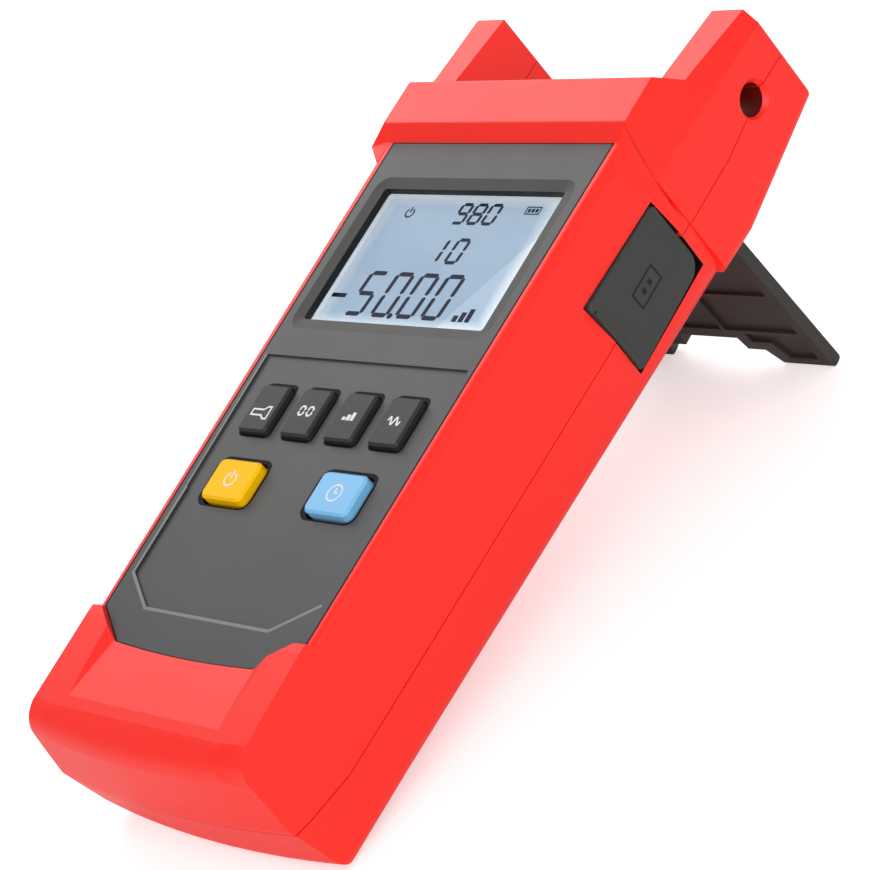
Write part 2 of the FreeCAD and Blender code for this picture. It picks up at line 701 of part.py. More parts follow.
def make_dish():
    """The shallow wedge that lowers the foot's middle face towards the panel."""
    flare = "(foot_high_rise + 1)"
    slope = 2.1
    line = "(foot_high_rise + (foot_nose_rise - foot_high_rise) * "
    run_out = line + "(foot_high - dish_low) / (foot_high - foot_nose))"
    high = section("dish_high_section", "foot_crease", [
        ("dish_half - 1.2", "-(dish_depth + 0.7)"),
        (f"dish_half - 1.2 + {slope} * ({flare} + dish_depth + 0.7)", flare)])
    low = section("dish_low_section", "dish_low", [
        ("dish_low_half", run_out),
        (f"dish_low_half + {slope} * ({flare} - {run_out})", flare)])
    return lofted("dish", [high, low])


def make_envelope():
    """The outside of the closed case."""
    trunk = combined("Fuse", "trunk", make_belly(), make_head())
    return combined("Fuse", "envelope", trunk, make_foot())


def parting_side(name, shift):
    """Everything in front of the parting line. The line steps forward at the foot and horns."""
    profile = plane_sketch(name + "_outline", "YZ", "0")
    beyond = "4 * crest_rise"
    outline(profile, [
        ("foot_end - wall", beyond),
        ("foot_end - wall", f"-parting_foot_depth - {shift}"),
        ("foot_nose - wall", f"-(parting_foot_depth + parting_low_depth) / 2 - {shift}"),
        ("boss_low_y", f"-parting_low_depth + 0.4 - {shift}"),
        ("belly_low", f"-parting_low_depth - {shift}"),
        ("head_base", f"-parting_high_depth - {shift}"),
        ("ridge", f"-parting_high_depth + 0.7 - {shift}"),
        ("horn_tip - 2 * strap_hole", f"-parting_horn_depth - {shift}"),
        ("horn_tip + wall", f"-parting_horn_depth - {shift}"),
        ("horn_tip + wall", beyond)])
    return extruded(name, profile, "4 * head_high_half", symmetric=True)


def make_cavity():
    """The space inside the case: its middle, its head, and the foot in two steps."""
    low_depth, high_depth = "back_low_depth - wall", "back_high_depth - head_wall"
    low = cavity_section("cavity_low_section", "rim_low_half", "belly_low", low_depth)
    high = cavity_section("cavity_high_section", "rim_high_half", "belly_high", high_depth)
    toe = cavity_section("cavity_toe_section", "rim_low_half", "belly_low",
                         f"{low_depth} - heel_round")
    middle = lofted("cavity_middle", [low, high])
    head = extruded("cavity_head", high, "shelf - wall - belly_high", reverse=True)
    foot = extruded("cavity_foot", low, "belly_low - foot_corner - heel_round - 1.5 * wall")
    end = extruded("cavity_end", toe, "belly_low - foot_corner - 1.5 * wall")
    return fused("cavity", [middle, head, foot, end])


def boss_places():
    return [(f"{side}boss_{level}_x", f"boss_{level}_y")
            for side in ("", "-") for level in ("low", "high")]


def post_places():
    return [(f"{side}post_x", f"post_{level}")
            for side in ("", "-") for level in ("low", "mid", "high")]


def rear_post_places():
    return [(f"{side}rear_post_x", f"rear_post_{level}")
            for side in ("", "-") for level in ("low", "high")]


def circles(body, name, plane, offset, places, radius, hidden=False):
    sketch = body_sketch(body, name, plane, offset)
    discs(sketch, places, radius, hidden)
    return sketch


def box_sketch(body, name, plane, offset, left, right, low, high):
    sketch = body_sketch(body, name, plane, offset)
    rectangle(sketch, left, right, low, high)
    return sketch


def rounded_rectangle(sketch, left, right, low, high, radius):
    """A rectangle whose corners are arcs of one radius."""
    r = size(radius)
    x0, x1, y0, y1 = size(left), size(right), size(low), size(high)
    centres = [(x1 - r, y1 - r), (x0 + r, y1 - r), (x0 + r, y0 + r), (x1 - r, y0 + r)]
    texts = [(f"{right} - {radius}", f"{high} - {radius}"), (f"{left} + {radius}", f"{high} - {radius}"),
             (f"{left} + {radius}", f"{low} + {radius}"), (f"{right} - {radius}", f"{low} + {radius}")]
    first = sketch.GeometryCount
    for turn, (x, y) in enumerate(centres):
        ring = Part.Circle(Vector(x, y, 0), Vector(0, 0, 1), r)
        start = turn * math.pi / 2
        sketch.addGeometry(Part.ArcOfCircle(ring, start, start + math.pi / 2), False)
    for turn in range(4):
        following = (turn + 1) % 4
        start = sketch.getPoint(first + turn, 2)
        stop = sketch.getPoint(first + following, 1)
        side = sketch.addGeometry(Part.LineSegment(start, stop), False)
        sketch.addConstraint(Sketcher.Constraint("Tangent", first + turn, 2, side, 1))
        sketch.addConstraint(Sketcher.Constraint("Tangent", side, 2, first + following, 1))
    for turn, place in enumerate(texts):
        index = sketch.addConstraint(Sketcher.Constraint("Radius", first + turn, r))
        sketch.setExpression(f"Constraints[{index}]", bound(radius))
        hold(sketch, first + turn, 3, place)


def shell_body(name, base):
    """A body that carries on from a solid made outside it."""
    body = new_body(name)
    body.BaseFeature = base
    doc.recompute()
    return body


def small_key_places():
    return [(f"({n} - 1.5) * key_pitch", "key_y") for n in range(4)]


def big_key_places():
    return [("-big_key_x", "big_key_y"), ("big_key_x", "big_key_y")]


def panel_corners(grow):
    """The panel's outline, moved out by a margin."""
    return [
        (f"panel_foot_half + {grow} / 2", f"panel_foot - {grow}"),
        (f"panel_low_half + {grow}", "0"),
        (f"panel_top_half + {grow}", f"panel_top + {grow} / 4")]


def panel_outline(sketch, grow):
    corners = mirrored(panel_corners(grow))
    outline(sketch, corners, bows={5: ("0", f"panel_foot - panel_bow - {grow}")})


def display_opening(body, name, offset, lap):
    """The outline of the display's opening, grown by a lap."""
    return box_sketch(
        body, name, "XY", offset,
        f"-(opening_half + {lap})", f"opening_half + {lap}",
        f"opening_low - ({lap})", f"opening_high + {lap}")


def cut_side_cover_seat(body):
    """The seat of the side cover, its finger notch and the window for the socket."""
    seat = body_sketch(body, "cover_seat", "YZ", "cover_face - cover_thick - 0.1")
    outline(seat, cover_corners("cover_gap"))
    cut(body, seat, "wall + 4", reverse=True)
    hole = box_sketch(
        body, "plug_window", "YZ", "cover_face - cover_thick",
        "socket_y - plug_half - plug_gap", "socket_y + plug_half + plug_gap",
        f"{SOCKET_Z} - plug_half_high - plug_gap", f"{SOCKET_Z} + plug_half_high + plug_gap")
    cut(body, hole, "wall + 4")


def cover_corners(grow):
    """The side cover's outline in y and z: its rear corner at the top is cut, then rounded."""
    return [
        (f"cover_low - {grow}", f"-(cover_back + cover_flare) - {grow}"),
        (f"cover_high + {grow}", f"-cover_back - {grow}"),
        (f"cover_high + {grow}", f"-cover_front + {grow}"),
        (f"cover_low - {grow}", f"-(cover_front - cover_flare) + {grow}")]


BOARD_FRONT = "-(panel_thick + window_thick + display_thick + light_thick)"
BOARD_BACK = f"({BOARD_FRONT} - board_thick)"
REAR_BOARD_FRONT = "-(rear_board_depth - board_thick)"
BAY_HALF = "(cell_pitch + cell_radius + cell_gap)"
BAY_HIGH = "(cell_low + cell_length + nub_length + plate_thick)"
STAND_LOW = "(stand_y - stand_length - 2 * stand_gap)"
STAND_STOP = "(stand_y + barrel / cos(stand_open - 90) + stand_gap)"
STAND_FLOOR = "(stand_depth + barrel - stand_pocket)"
SEAT_X = "(cover_face - cover_thick - 0.1)"
SOCKET_Z = f"({REAR_BOARD_FRONT} + socket_high / 2)"
DOOR_LOW = "(bay_low - door_lap)"


def disc_solids(name, start, places, radius, length, reverse=True, hidden=False):
    """Round bosses of one length from one z, towards the back if reversed."""
    sketch = plane_sketch(name + "_circles", "XY", start)
    discs(sketch, places, radius, hidden)
    return extruded(name, sketch, length, reverse=reverse)


def block(name, left, right, low, high, top, bottom):
    """A plain block inside the case. The bottom is the greater depth."""
    sketch = plane_sketch(name + "_plan", "XY", top)
    rectangle(sketch, left, right, low, high)
    return extruded(name, sketch, f"({top}) - ({bottom})", reverse=True)


def make_bosses(name):
    return disc_solids(name, "-panel_thick - 1", boss_places(), "boss_radius",
                       "back_high_depth - panel_thick")


def fused(name, pieces):
    solid = doc.addObject("Part::MultiFuse", name)
    solid.Shapes = pieces
    doc.recompute()
    return solid


def make_case(envelope):
    """The closed case with its walls and the posts that both shells share."""
    hollow = combined("Cut", "hollow_case", envelope, make_cavity())
    fillings = fused("fillings", [
        make_bosses("case_bosses"),
        disc_solids("board_posts", "-panel_thick - 1", post_places(), "post_radius",
                    f"-({BOARD_FRONT}) - panel_thick - 1", hidden=True),
        block("right_liner", f"{SEAT_X} - wall", f"{SEAT_X} + wall / 2",
              "cover_low - bay_wall", "cover_high + bay_wall",
              "-(cover_front - bay_wall)", "-(cover_back + bay_wall)")])
    inside = combined("Common", "fitted_fillings", fillings, envelope)
    return combined("Fuse", "case_solid", hollow, inside)


def make_rear_fillings(envelope, front_side):
    """The liners and posts of the rear shell alone, and the parts of the bosses behind."""
    deep = "-(back_high_depth)"
    liners = fused("rear_liners", [
        disc_solids("rear_posts", "-rear_board_depth", rear_post_places(), "post_radius",
                    f"{STAND_FLOOR} - rear_board_depth - pocket_wall / 2", hidden=True),
        block("stand_liner", "-(stand_half + stand_gap + pocket_wall)",
              "stand_half + stand_gap + pocket_wall", "door_high",
              f"{STAND_STOP} + pocket_wall", f"-({STAND_FLOOR} - pocket_wall - 1)", deep),
        block("bay_liner", f"-({BAY_HALF} + door_lap + bay_wall)",
              f"{BAY_HALF} + door_lap + bay_wall", f"{DOOR_LOW} - tab_length - bay_wall",
              "door_high + bay_wall", "-(bay_floor - bay_wall)", deep),
        combined("Cut", "rear_bosses", make_bosses("boss_blanks"), front_side)])
    return combined("Common", "rear_fillings", liners, envelope)


def cut_shared_holes(body):
    """Holes that cross the parting line: the strap hole, the optical port, the side cover."""
    axis = ("strap_hole_y", "-strap_hole_depth")
    hole = circles(body, "strap_hole_circle", "YZ", "horn_inner_half - wall", [axis], "strap_hole")
    cut(body, hole, "2 * wall + head_high_half - horn_inner_half", reverse=True)
    mouth = circles(body, "strap_mouth_circle", "YZ", "head_high_half", [axis],
                    "strap_hole + strap_mouth")
    cut(body, mouth, "2 * strap_mouth", taper="-40")
    neck = circles(body, "port_hole", "XZ", "shelf + wall", [("0", "-port_depth")],
                   "port_neck + screw_clear")
    cut(body, neck, "4 * wall", reverse=True)
    cut_side_cover_seat(body)


def make_front_shell(case, front_side):
    base = combined("Common", "front_case", case, front_side)
    body = shell_body("front_shell", base)
    recess = body_sketch(body, "panel_recess", "XY", "crest_rise")
    panel_outline(recess, "panel_seam")
    cut(body, recess, "crest_rise + panel_thick")
    opening = display_opening(body, "stack_opening", "-panel_thick", "display_lap + stack_gap")
    cut(body, opening, "2 * ledge_thick")
    keys = box_sketch(body, "key_opening", "XY", "-panel_thick",
                      "-(pad_half + stack_gap)", "pad_half + stack_gap",
                      "pad_low - stack_gap", "pad_high + stack_gap")
    cut(body, keys, "2 * ledge_thick")
    pilots = circles(body, "post_pilots", "XY", BOARD_FRONT, post_places(),
                     "small_shank + screw_clear", hidden=True)
    cut(body, pilots, "small_length - board_thick + 0.2", reverse=True)
    drills = circles(body, "boss_pilots", "XY", "-(parting_high_depth + 1)", boss_places(),
                     "screw_shank + screw_clear", hidden=True)
    cut(body, drills, "parting_high_depth + 1.5 - screw_recess + screw_length", reverse=True)
    cut_shared_holes(body)
    return body


def door_solid(name, grow, lift):
    """The battery door's plate, flush with the sloping back, grown by a margin all round."""
    plan = plane_sketch(name + "_plan", "XY", "-bay_floor")
    half = f"({BAY_HALF} + door_lap + {grow})"
    rounded_rectangle(plan, f"-{half}", half, f"({DOOR_LOW} - {grow})",
                      f"(door_high + {grow})", "door_corner")
    column = extruded(name + "_column", plan, "back_high_depth", reverse=True)
    side = plane_sketch(name + "_side", "YZ", "0")
    low, high = f"({DOOR_LOW} - 1)", "(door_high + 1)"
    outline(side, [
        (low, f"-({back_depth(low)} - door_thick - {lift})"),
        (high, f"-({back_depth(high)} - door_thick - {lift})"),
        (high, f"-({back_depth(high)} + {lift} * 20)"),
        (low, f"-({back_depth(low)} + {lift} * 20)")])
    slab = extruded(name + "_slab", side, "4 * door_high", symmetric=True)
    return combined("Common", name, column, slab)


DOOR_INSIDE = f"({back_depth('door_screw_y')} - door_thick)"
TAB_FRONT = f"({back_depth(DOOR_LOW)} - door_thick)"


def tab_rectangles(sketch, gap):
    for side in ("-", ""):
        rectangle(sketch, f"{side}tab_x - tab_half - {gap}", f"{side}tab_x + tab_half + {gap}",
                  f"{DOOR_LOW} - tab_length - {gap}", f"{DOOR_LOW} + 1")


def make_rear_shell(case, envelope, front_side):
    rear_side = parting_side("rear_side", "parting_reveal")
    parted = combined("Cut", "rear_case", case, rear_side)
    filled = combined("Fuse", "rear_case_filled", parted, make_rear_fillings(envelope, front_side))
    seat = door_solid("door_seat", "door_gap", "0.05")
    body = shell_body("rear_shell", combined("Cut", "rear_case_seated", filled, seat))
    bay = box_sketch(body, "bay_outline", "XY", "-back_high_depth",
                     f"-{BAY_HALF}", BAY_HALF, "bay_low", BAY_HIGH)
    cut(body, bay, "back_high_depth - bay_floor", reverse=True)
    pocket = body_sketch(body, "stand_recess", "YZ", "0")
    outline(pocket, [
        (STAND_LOW, f"-({back_depth(STAND_LOW)} - stand_pocket)"),
        (STAND_STOP, f"-{STAND_FLOOR}"),
        (STAND_STOP, "-(stand_depth + 3 * barrel)"),
        (STAND_LOW, "-(stand_depth + 3 * barrel)")])
    cut(body, pocket, "2 * (stand_half + stand_gap)", symmetric=True)
    pins = circles(body, "pin_holes", "YZ", "0", [("stand_y", "-stand_depth")],
                   "pin_radius + pin_clear")
    cut(body, pins, "2 * (stand_half + pin_length + stand_gap)", symmetric=True)
    scoop = circles(body, "finger_scoop", "YZ", "0",
                    [(STAND_LOW, f"-({back_depth(STAND_LOW)} + scoop_radius * 0.65)")],
                    "scoop_radius")
    cut(body, scoop, "2 * notch_half", symmetric=True)
    bores = circles(body, "boss_bores", "XY", "-screw_recess", boss_places(),
                    "screw_head + head_gap")
    cut(body, bores, "back_high_depth")
    drills = circles(body, "boss_drills", "XY", "-screw_recess", boss_places(),
                     "screw_shank + screw_clear", hidden=True)
    cut(body, drills, "screw_recess - parting_low_depth + 2", reverse=True)
    posts = circles(body, "rear_post_pilots", "XY", "-rear_board_depth", rear_post_places(),
                    "small_shank + screw_clear", hidden=True)
    cut(body, posts, "small_length - board_thick + 0.2")
    pilot = circles(body, "door_pilot", "XY", f"-{DOOR_INSIDE}", [("0", "door_screw_y")],
                    "small_shank + screw_clear", hidden=True)
    cut(body, pilot, "door_screw_length", reverse=True)
    slots = body_sketch(body, "tab_slots", "XY", f"-({TAB_FRONT} + tab_thick + 0.2)")
    tab_rectangles(slots, "0.2")
    cut(body, slots, "tab_thick + 0.4", reverse=True)
    cut_shared_holes(body)
    return body


def rounded_pad(body, name, place, half, half_high, radius, top, length):
    """Pads a rounded rectangle round one place, from its top downwards."""
    sketch = body_sketch(body, name, "XY", top)
    x, y = place
    rounded_rectangle(sketch, f"({x} - {half})", f"({x} + {half})",
                      f"({y} - {half_high})", f"({y} + {half_high})", radius)
    return add(body, sketch, length, reverse=True)


def make_front_panel():
    body = new_body("front_panel")
    plate = body_sketch(body, "panel_sketch", "XY", "0")
    panel_outline(plate, "0")
    add(body, plate, "panel_thick", reverse=True)
    deck = body_sketch(body, "key_deck", "XY", "0")
    outline(deck, mirrored([
        ("deck_foot_half", "deck_foot"),
        ("deck_low_half", "deck_low"),
        ("deck_high_half", "deck_high")]))
    cut(body, deck, "deck_depth")
    opening = body_sketch(body, "panel_window", "XY", "0")
    rounded_rectangle(
        opening, "-opening_half", "opening_half", "opening_low", "opening_high", "opening_round")
    cut(body, opening, "panel_thick")
    low, high = size("opening_low"), size("opening_high")
    soften(body, "display_bevel", "bevel_wide",
           lambda edge: all_at(edge, 2, 0) and low - 0.1 < edge.CenterOfMass.y < high + 0.1
           and edge.BoundBox.XLength < 2 * size("opening_half")
           and abs(edge.CenterOfMass.x) < size("opening_half") + 0.1,
           "Chamfer", "bevel_deep")
    keys = [
        ("small_key_holes", small_key_places(), "key_half", "key_half_high", "key_corner", "key_gap"),
        ("big_key_holes", big_key_places(), "big_key_half", "big_key_half_high", "big_key_corner",
         "big_key_gap")]
    for name, places, half, half_high, corner, gap in keys:
        sketch = body_sketch(body, name, "XY", "0")
        for x, y in places:
            rounded_rectangle(sketch, f"({x} - {half} - {gap})", f"({x} + {half} + {gap})",
                              f"({y} - {half_high} - {gap})", f"({y} + {half_high} + {gap})", corner)
        cut(body, sketch, "panel_thick")
    return body


def make_key(name, place, prefix):
    """A key with its flange under the panel and softened top edges."""
    body = new_body(name)
    half, half_high, gap = f"{prefix}key_half", f"{prefix}key_half_high", f"{prefix}key_gap"
    corner, rise = f"{prefix}key_corner", f"{prefix}key_rise"
    flange_top = "-(panel_thick + flange_gap)"
    rounded_pad(body, name + "_flange", place, f"{half} + {gap} + flange_lap",
                f"{half_high} + {gap} + flange_lap", corner, flange_top, "flange_thick")
    rounded_pad(body, name + "_cap", place, half, half_high, corner, rise,
                f"{rise} + panel_thick + flange_gap")
    soften(body, name + "_edge", "key_edge",
           lambda edge: all_at(edge, 2, size(rise)), "Chamfer")
    return body


def make_key_mat():
    body = new_body("key_mat")
    base = box_sketch(body, "mat_sketch", "XY", f"{BOARD_FRONT} + pad_thick",
                      "-pad_half", "pad_half", "pad_low", "pad_high")
    add(body, base, "pad_thick", reverse=True)
    tops = "-(panel_thick + flange_gap + flange_thick + key_travel + dome_gap)"
    domes = circles(body, "mat_domes", "XY", tops, small_key_places() + big_key_places(),
                    "dome_radius", hidden=True)
    add(body, domes, f"{tops} - ({BOARD_FRONT}) - pad_thick / 2", reverse=True)
    return body


def make_stack_piece(name, top, thickness, lap, inner_lap=None):
    """One layer of the display stack, a plate or, with an inner lap, a frame."""
    body = new_body(name)
    add(body, display_opening(body, name + "_outline", top, lap), thickness, reverse=True)
    if inner_lap:
        cut(body, display_opening(body, name + "_inner", top, inner_lap), thickness)
    return body


def make_display_stack():
    """Window and foam frame lie in one layer, the display and its light guide behind them."""
    return [
        make_stack_piece("display_window", "-panel_thick", "window_thick", "window_lap"),
        make_stack_piece("display_gasket", "-panel_thick", "window_thick", "display_lap",
                         "window_lap + gasket_gap"),
        make_stack_piece("display_glass", "-(panel_thick + window_thick)", "display_thick",
                         "display_lap"),
        make_stack_piece("light_guide", f"{BOARD_FRONT} + light_thick", "light_thick",
                         "display_lap")]


def make_board(name, front, low, high, half, places, chips):
    """A circuit board with its screw holes, and chips on its back."""
    body = new_body(name)
    sketch = box_sketch(body, name + "_outline", "XY", front, f"-{half}", half, low, high)
    discs(sketch, places, "small_shank + screw_clear", hidden=True)
    add(body, sketch, "board_thick", reverse=True)
    packages = body_sketch(body, name + "_chips", "XY", f"{front} - board_thick")
    for x, y in chips:
        rectangle(packages, f"{x} - chip_half", f"{x} + chip_half",
                  f"{y} - chip_half", f"{y} + chip_half")
    add(body, packages, "chip_thick", reverse=True)
    return body


def make_header():
    body = new_body("board_header")
    sketch = box_sketch(body, "header_sketch", "XY", BOARD_BACK, "-header_half", "header_half",
                        "header_y - header_thick / 2", "header_y + header_thick / 2")
    add(body, sketch, f"{BOARD_BACK} - ({REAR_BOARD_FRONT})", reverse=True)
    return body


def make_screws(name, places, seat, head, head_high, shank, length, behind=True, hidden=True):
    """Screws whose heads bear on one depth, from behind or from the front."""
    heads = disc_solids(name + "_heads", seat, places, head, head_high, behind, hidden)
    shanks = disc_solids(name + "_shanks", seat, places, shank, length, not behind, True)
    return combined("Fuse", name, heads, shanks)


def make_side_cover():
    body = new_body("side_cover")
    plate = body_sketch(body, "cover_sketch", "YZ", "cover_face - cover_thick")
    outline(plate, cover_corners("0"))
    add(body, plate, "cover_thick")
    soften(body, "cover_large_corner", "cover_round", lambda edge: at_cover_corner(edge, True, "0"))
    soften(body, "cover_small_corners", "cover_corner", lambda edge: at_cover_corner(edge, False, "0"))
    lip = box_sketch(body, "cover_lip", "YZ", "cover_face", "cover_low", "cover_low + lip",
                     "-(cover_back - cover_corner)", "-(cover_front + cover_corner)")
    add(body, lip, "lip_rise")
    plug = box_sketch(body, "cover_plug", "YZ", "cover_face - cover_thick",
                      "socket_y - plug_half", "socket_y + plug_half",
                      f"{SOCKET_Z} - plug_half_high", f"{SOCKET_Z} + plug_half_high")
    add(body, plug, "plug_length", reverse=True)
    face, lip_y = size("cover_face"), size("cover_low + lip")
    soften(body, "cover_face_edges", "lip_rise * 0.6",
           lambda edge: all_at(edge, 0, face) and abs(edge.CenterOfMass.y - lip_y) > 1.2,
           "Chamfer")
    return body


def at_cover_corner(edge, large, grow):
    """True for a cross edge at the cover's large corner, or at one of its other corners."""
    if not runs_along(edge, 0):
        return False
    middle = edge.CenterOfMass
    corners = [(size(y), size(z)) for y, z in cover_corners(grow)]
    near = [math.hypot(middle.y - y, middle.z - z) < 0.3 for y, z in corners]
    return near[1] if large else any(near) and not near[1]


def make_socket():
    body = new_body("side_socket")
    mouth = "socket_mouth"
    shell = box_sketch(body, "socket_shell", "YZ", mouth, "socket_y - socket_half",
                       "socket_y + socket_half", f"{SOCKET_Z} - socket_high / 2",
                       f"{SOCKET_Z} + socket_high / 2")
    add(body, shell, "socket_long", reverse=True)
    hollow = box_sketch(body, "socket_hollow", "YZ", mouth, "socket_y - socket_half + socket_wall",
                        "socket_y + socket_half - socket_wall",
                        f"{SOCKET_Z} - socket_high / 2 + socket_wall",
                        f"{SOCKET_Z} + socket_high / 2 - socket_wall")
    cut(body, hollow, "socket_cavity")
    tongue = box_sketch(body, "socket_tongue", "YZ", f"{mouth} - 2 * socket_wall",
                        "socket_y - socket_half * 0.6", "socket_y + socket_half * 0.6",
                        f"{SOCKET_Z} - socket_wall", f"{SOCKET_Z} + socket_wall")
    add(body, tongue, "socket_cavity - socket_wall", reverse=True)
    return body


PORT_AXIS = ("0", "-port_depth")
MOUTH_Y = "(shelf + port_reach)"
TAIL_Y = "(shelf - port_tail)"
SLEEVE_Y = f"({MOUTH_Y} - sleeve_set - sleeve_length)"


def make_port():
    body = new_body("optical_port")
    flange = circles(body, "port_flange_circle", "XZ", "shelf", [PORT_AXIS], "port_flange")
    add(body, flange, "port_flange_thick", reverse=True)
    barrel = circles(body, "port_barrel_circle", "XZ", "shelf", [PORT_AXIS], "port_barrel")
    add(body, barrel, "port_reach", reverse=True)
    neck = circles(body, "port_neck_circle", "XZ", "shelf", [PORT_AXIS], "port_neck")
    add(body, neck, "port_tail")
    ring = circles(body, "port_ring", "XZ", MOUTH_Y, [PORT_AXIS], "port_inner")
    cut(body, ring, "port_ring_depth", reverse=True)
    seat = circles(body, "sleeve_seat", "XZ", MOUTH_Y, [PORT_AXIS], "sleeve_bore + sleeve_wall")
    cut(body, seat, f"{MOUTH_Y} - {SLEEVE_Y}", reverse=True)
    can = circles(body, "detector_seat", "XZ", TAIL_Y, [PORT_AXIS], "detector_radius")
    cut(body, can, "detector_length")
    light = circles(body, "light_way", "XZ", MOUTH_Y, [PORT_AXIS], "light_hole")
    cut(body, light, "port_reach + port_tail", reverse=True)
    key = box_sketch(body, "port_keyway", "XZ", MOUTH_Y, "-port_key / 2", "port_key / 2",
                     "-port_depth + port_inner * 0.7", "-port_depth + port_barrel + 1")
    cut(body, key, "port_ring_depth / 2", reverse=True)
    return body


def make_sleeve():
    body = new_body("ferrule_sleeve")
    sketch = circles(body, "sleeve_sketch", "XZ", SLEEVE_Y, [PORT_AXIS], "sleeve_bore")
    circle(sketch, PORT_AXIS, "sleeve_bore + sleeve_wall")
    add(body, sketch, "sleeve_length", reverse=True)
    return body


def make_nut():
    body = new_body("port_nut")
    sketch = circles(body, "nut_sketch", "XZ", "shelf - wall", [PORT_AXIS], "port_neck + screw_clear")
    half = "nut_flats / 2"
    corner = f"({half} / cos(30))"
    outline(sketch, [
        (corner, "-port_depth"), (f"{corner} / 2", f"-port_depth + {half}"),
        (f"-{corner} / 2", f"-port_depth + {half}"), (f"-{corner}", "-port_depth"),
        (f"-{corner} / 2", f"-port_depth - {half}"), (f"{corner} / 2", f"-port_depth - {half}")])
    add(body, sketch, "nut_thick")
    return body


def make_detector():
    body = new_body("detector")
    can = circles(body, "detector_can", "XZ", TAIL_Y, [PORT_AXIS], "detector_radius")
    add(body, can, "detector_length", reverse=True)
    base = circles(body, "detector_base_circle", "XZ", TAIL_Y, [PORT_AXIS], "detector_base")
    add(body, base, "detector_base_thick")
    return body


def make_carrier():
    body = new_body("detector_carrier")
    sketch = box_sketch(body, "carrier_sketch", "XZ", f"{TAIL_Y} - detector_base_thick",
                        "-carrier_half", "carrier_half",
                        "-port_depth - carrier_high / 2", "-port_depth + carrier_high / 2")
    add(body, sketch, "carrier_thick")
    return body


CELL_Z = "(-(bay_floor + cell_gap + cell_radius))"


def make_cell(name, x, flipped):
    """A cell along y. A flipped one has its nub at the lower end."""
    body = new_body(name)
    low = "cell_low + nub_length" if flipped else "cell_low"
    can = circles(body, name + "_can", "XZ", low, [(x, CELL_Z)], "cell_radius")
    add(body, can, "cell_length", reverse=True)
    nub = circles(body, name + "_nub", "XZ", "cell_low" if flipped else "cell_low + cell_length",
                  [(x, CELL_Z)], "cell_nub")
    add(body, nub, "nub_length", reverse=True)
    return body


def make_contacts():
    """A strip with three bent leaves at the low end of the bay, and a plate at its high end."""
    leaves = new_body("contact_leaves")
    strip = box_sketch(leaves, "leaf_strip", "XZ", "bay_low", f"-{BAY_HALF} + plate_thick",
                       f"{BAY_HALF} - plate_thick", f"{CELL_Z} - contact_half",
                       f"{CELL_Z} + contact_half")
    add(leaves, strip, "plate_thick", reverse=True)
    for number, x in enumerate(("-cell_pitch", "0", "cell_pitch"), start=1):
        leaf = body_sketch(leaves, f"leaf_{number}", "YZ", x)
        low, high = f"{CELL_Z} - contact_half", f"{CELL_Z} + contact_half"
        outline(leaf, [
            ("bay_low", low), (f"cell_low", f"{CELL_Z} - plate_thick"),
            ("cell_low", f"{CELL_Z} + plate_thick"), ("bay_low", high),
            ("bay_low", f"{high} - plate_thick * 2"), ("cell_low - plate_thick", CELL_Z),
            ("bay_low", f"{low} + plate_thick * 2")])
        add(leaves, leaf, "contact_half", symmetric=True)
    plates = new_body("contact_plates")
    plate = box_sketch(plates, "plate_sketch", "XZ", BAY_HIGH, f"-{BAY_HALF} + plate_thick",
                       f"{BAY_HALF} - plate_thick", f"{CELL_Z} - contact_half",
                       f"{CELL_Z} + contact_half")
    add(plates, plate, "plate_thick")
    return [leaves, plates]


def make_door():
    body = shell_body("battery_door", door_solid("door_plate", "0", "0"))
    tabs = body_sketch(body, "door_tabs", "XY", f"-{TAB_FRONT} - 0.02")
    tab_rectangles(tabs, "0")
    add(body, tabs, "tab_thick", reverse=True)
    place = [("0", "door_screw_y")]
    bore = circles(body, "door_screw_bore", "XY", f"-({DOOR_INSIDE} + door_web)", place,
                   "small_head + head_gap")
    cut(body, bore, "door_thick")
    hole = circles(body, "door_screw_hole", "XY", f"-({DOOR_INSIDE} + door_thick)", place,
                   "small_shank + screw_clear", hidden=True)
    cut(body, hole, "2 * door_thick", reverse=True)
    return body


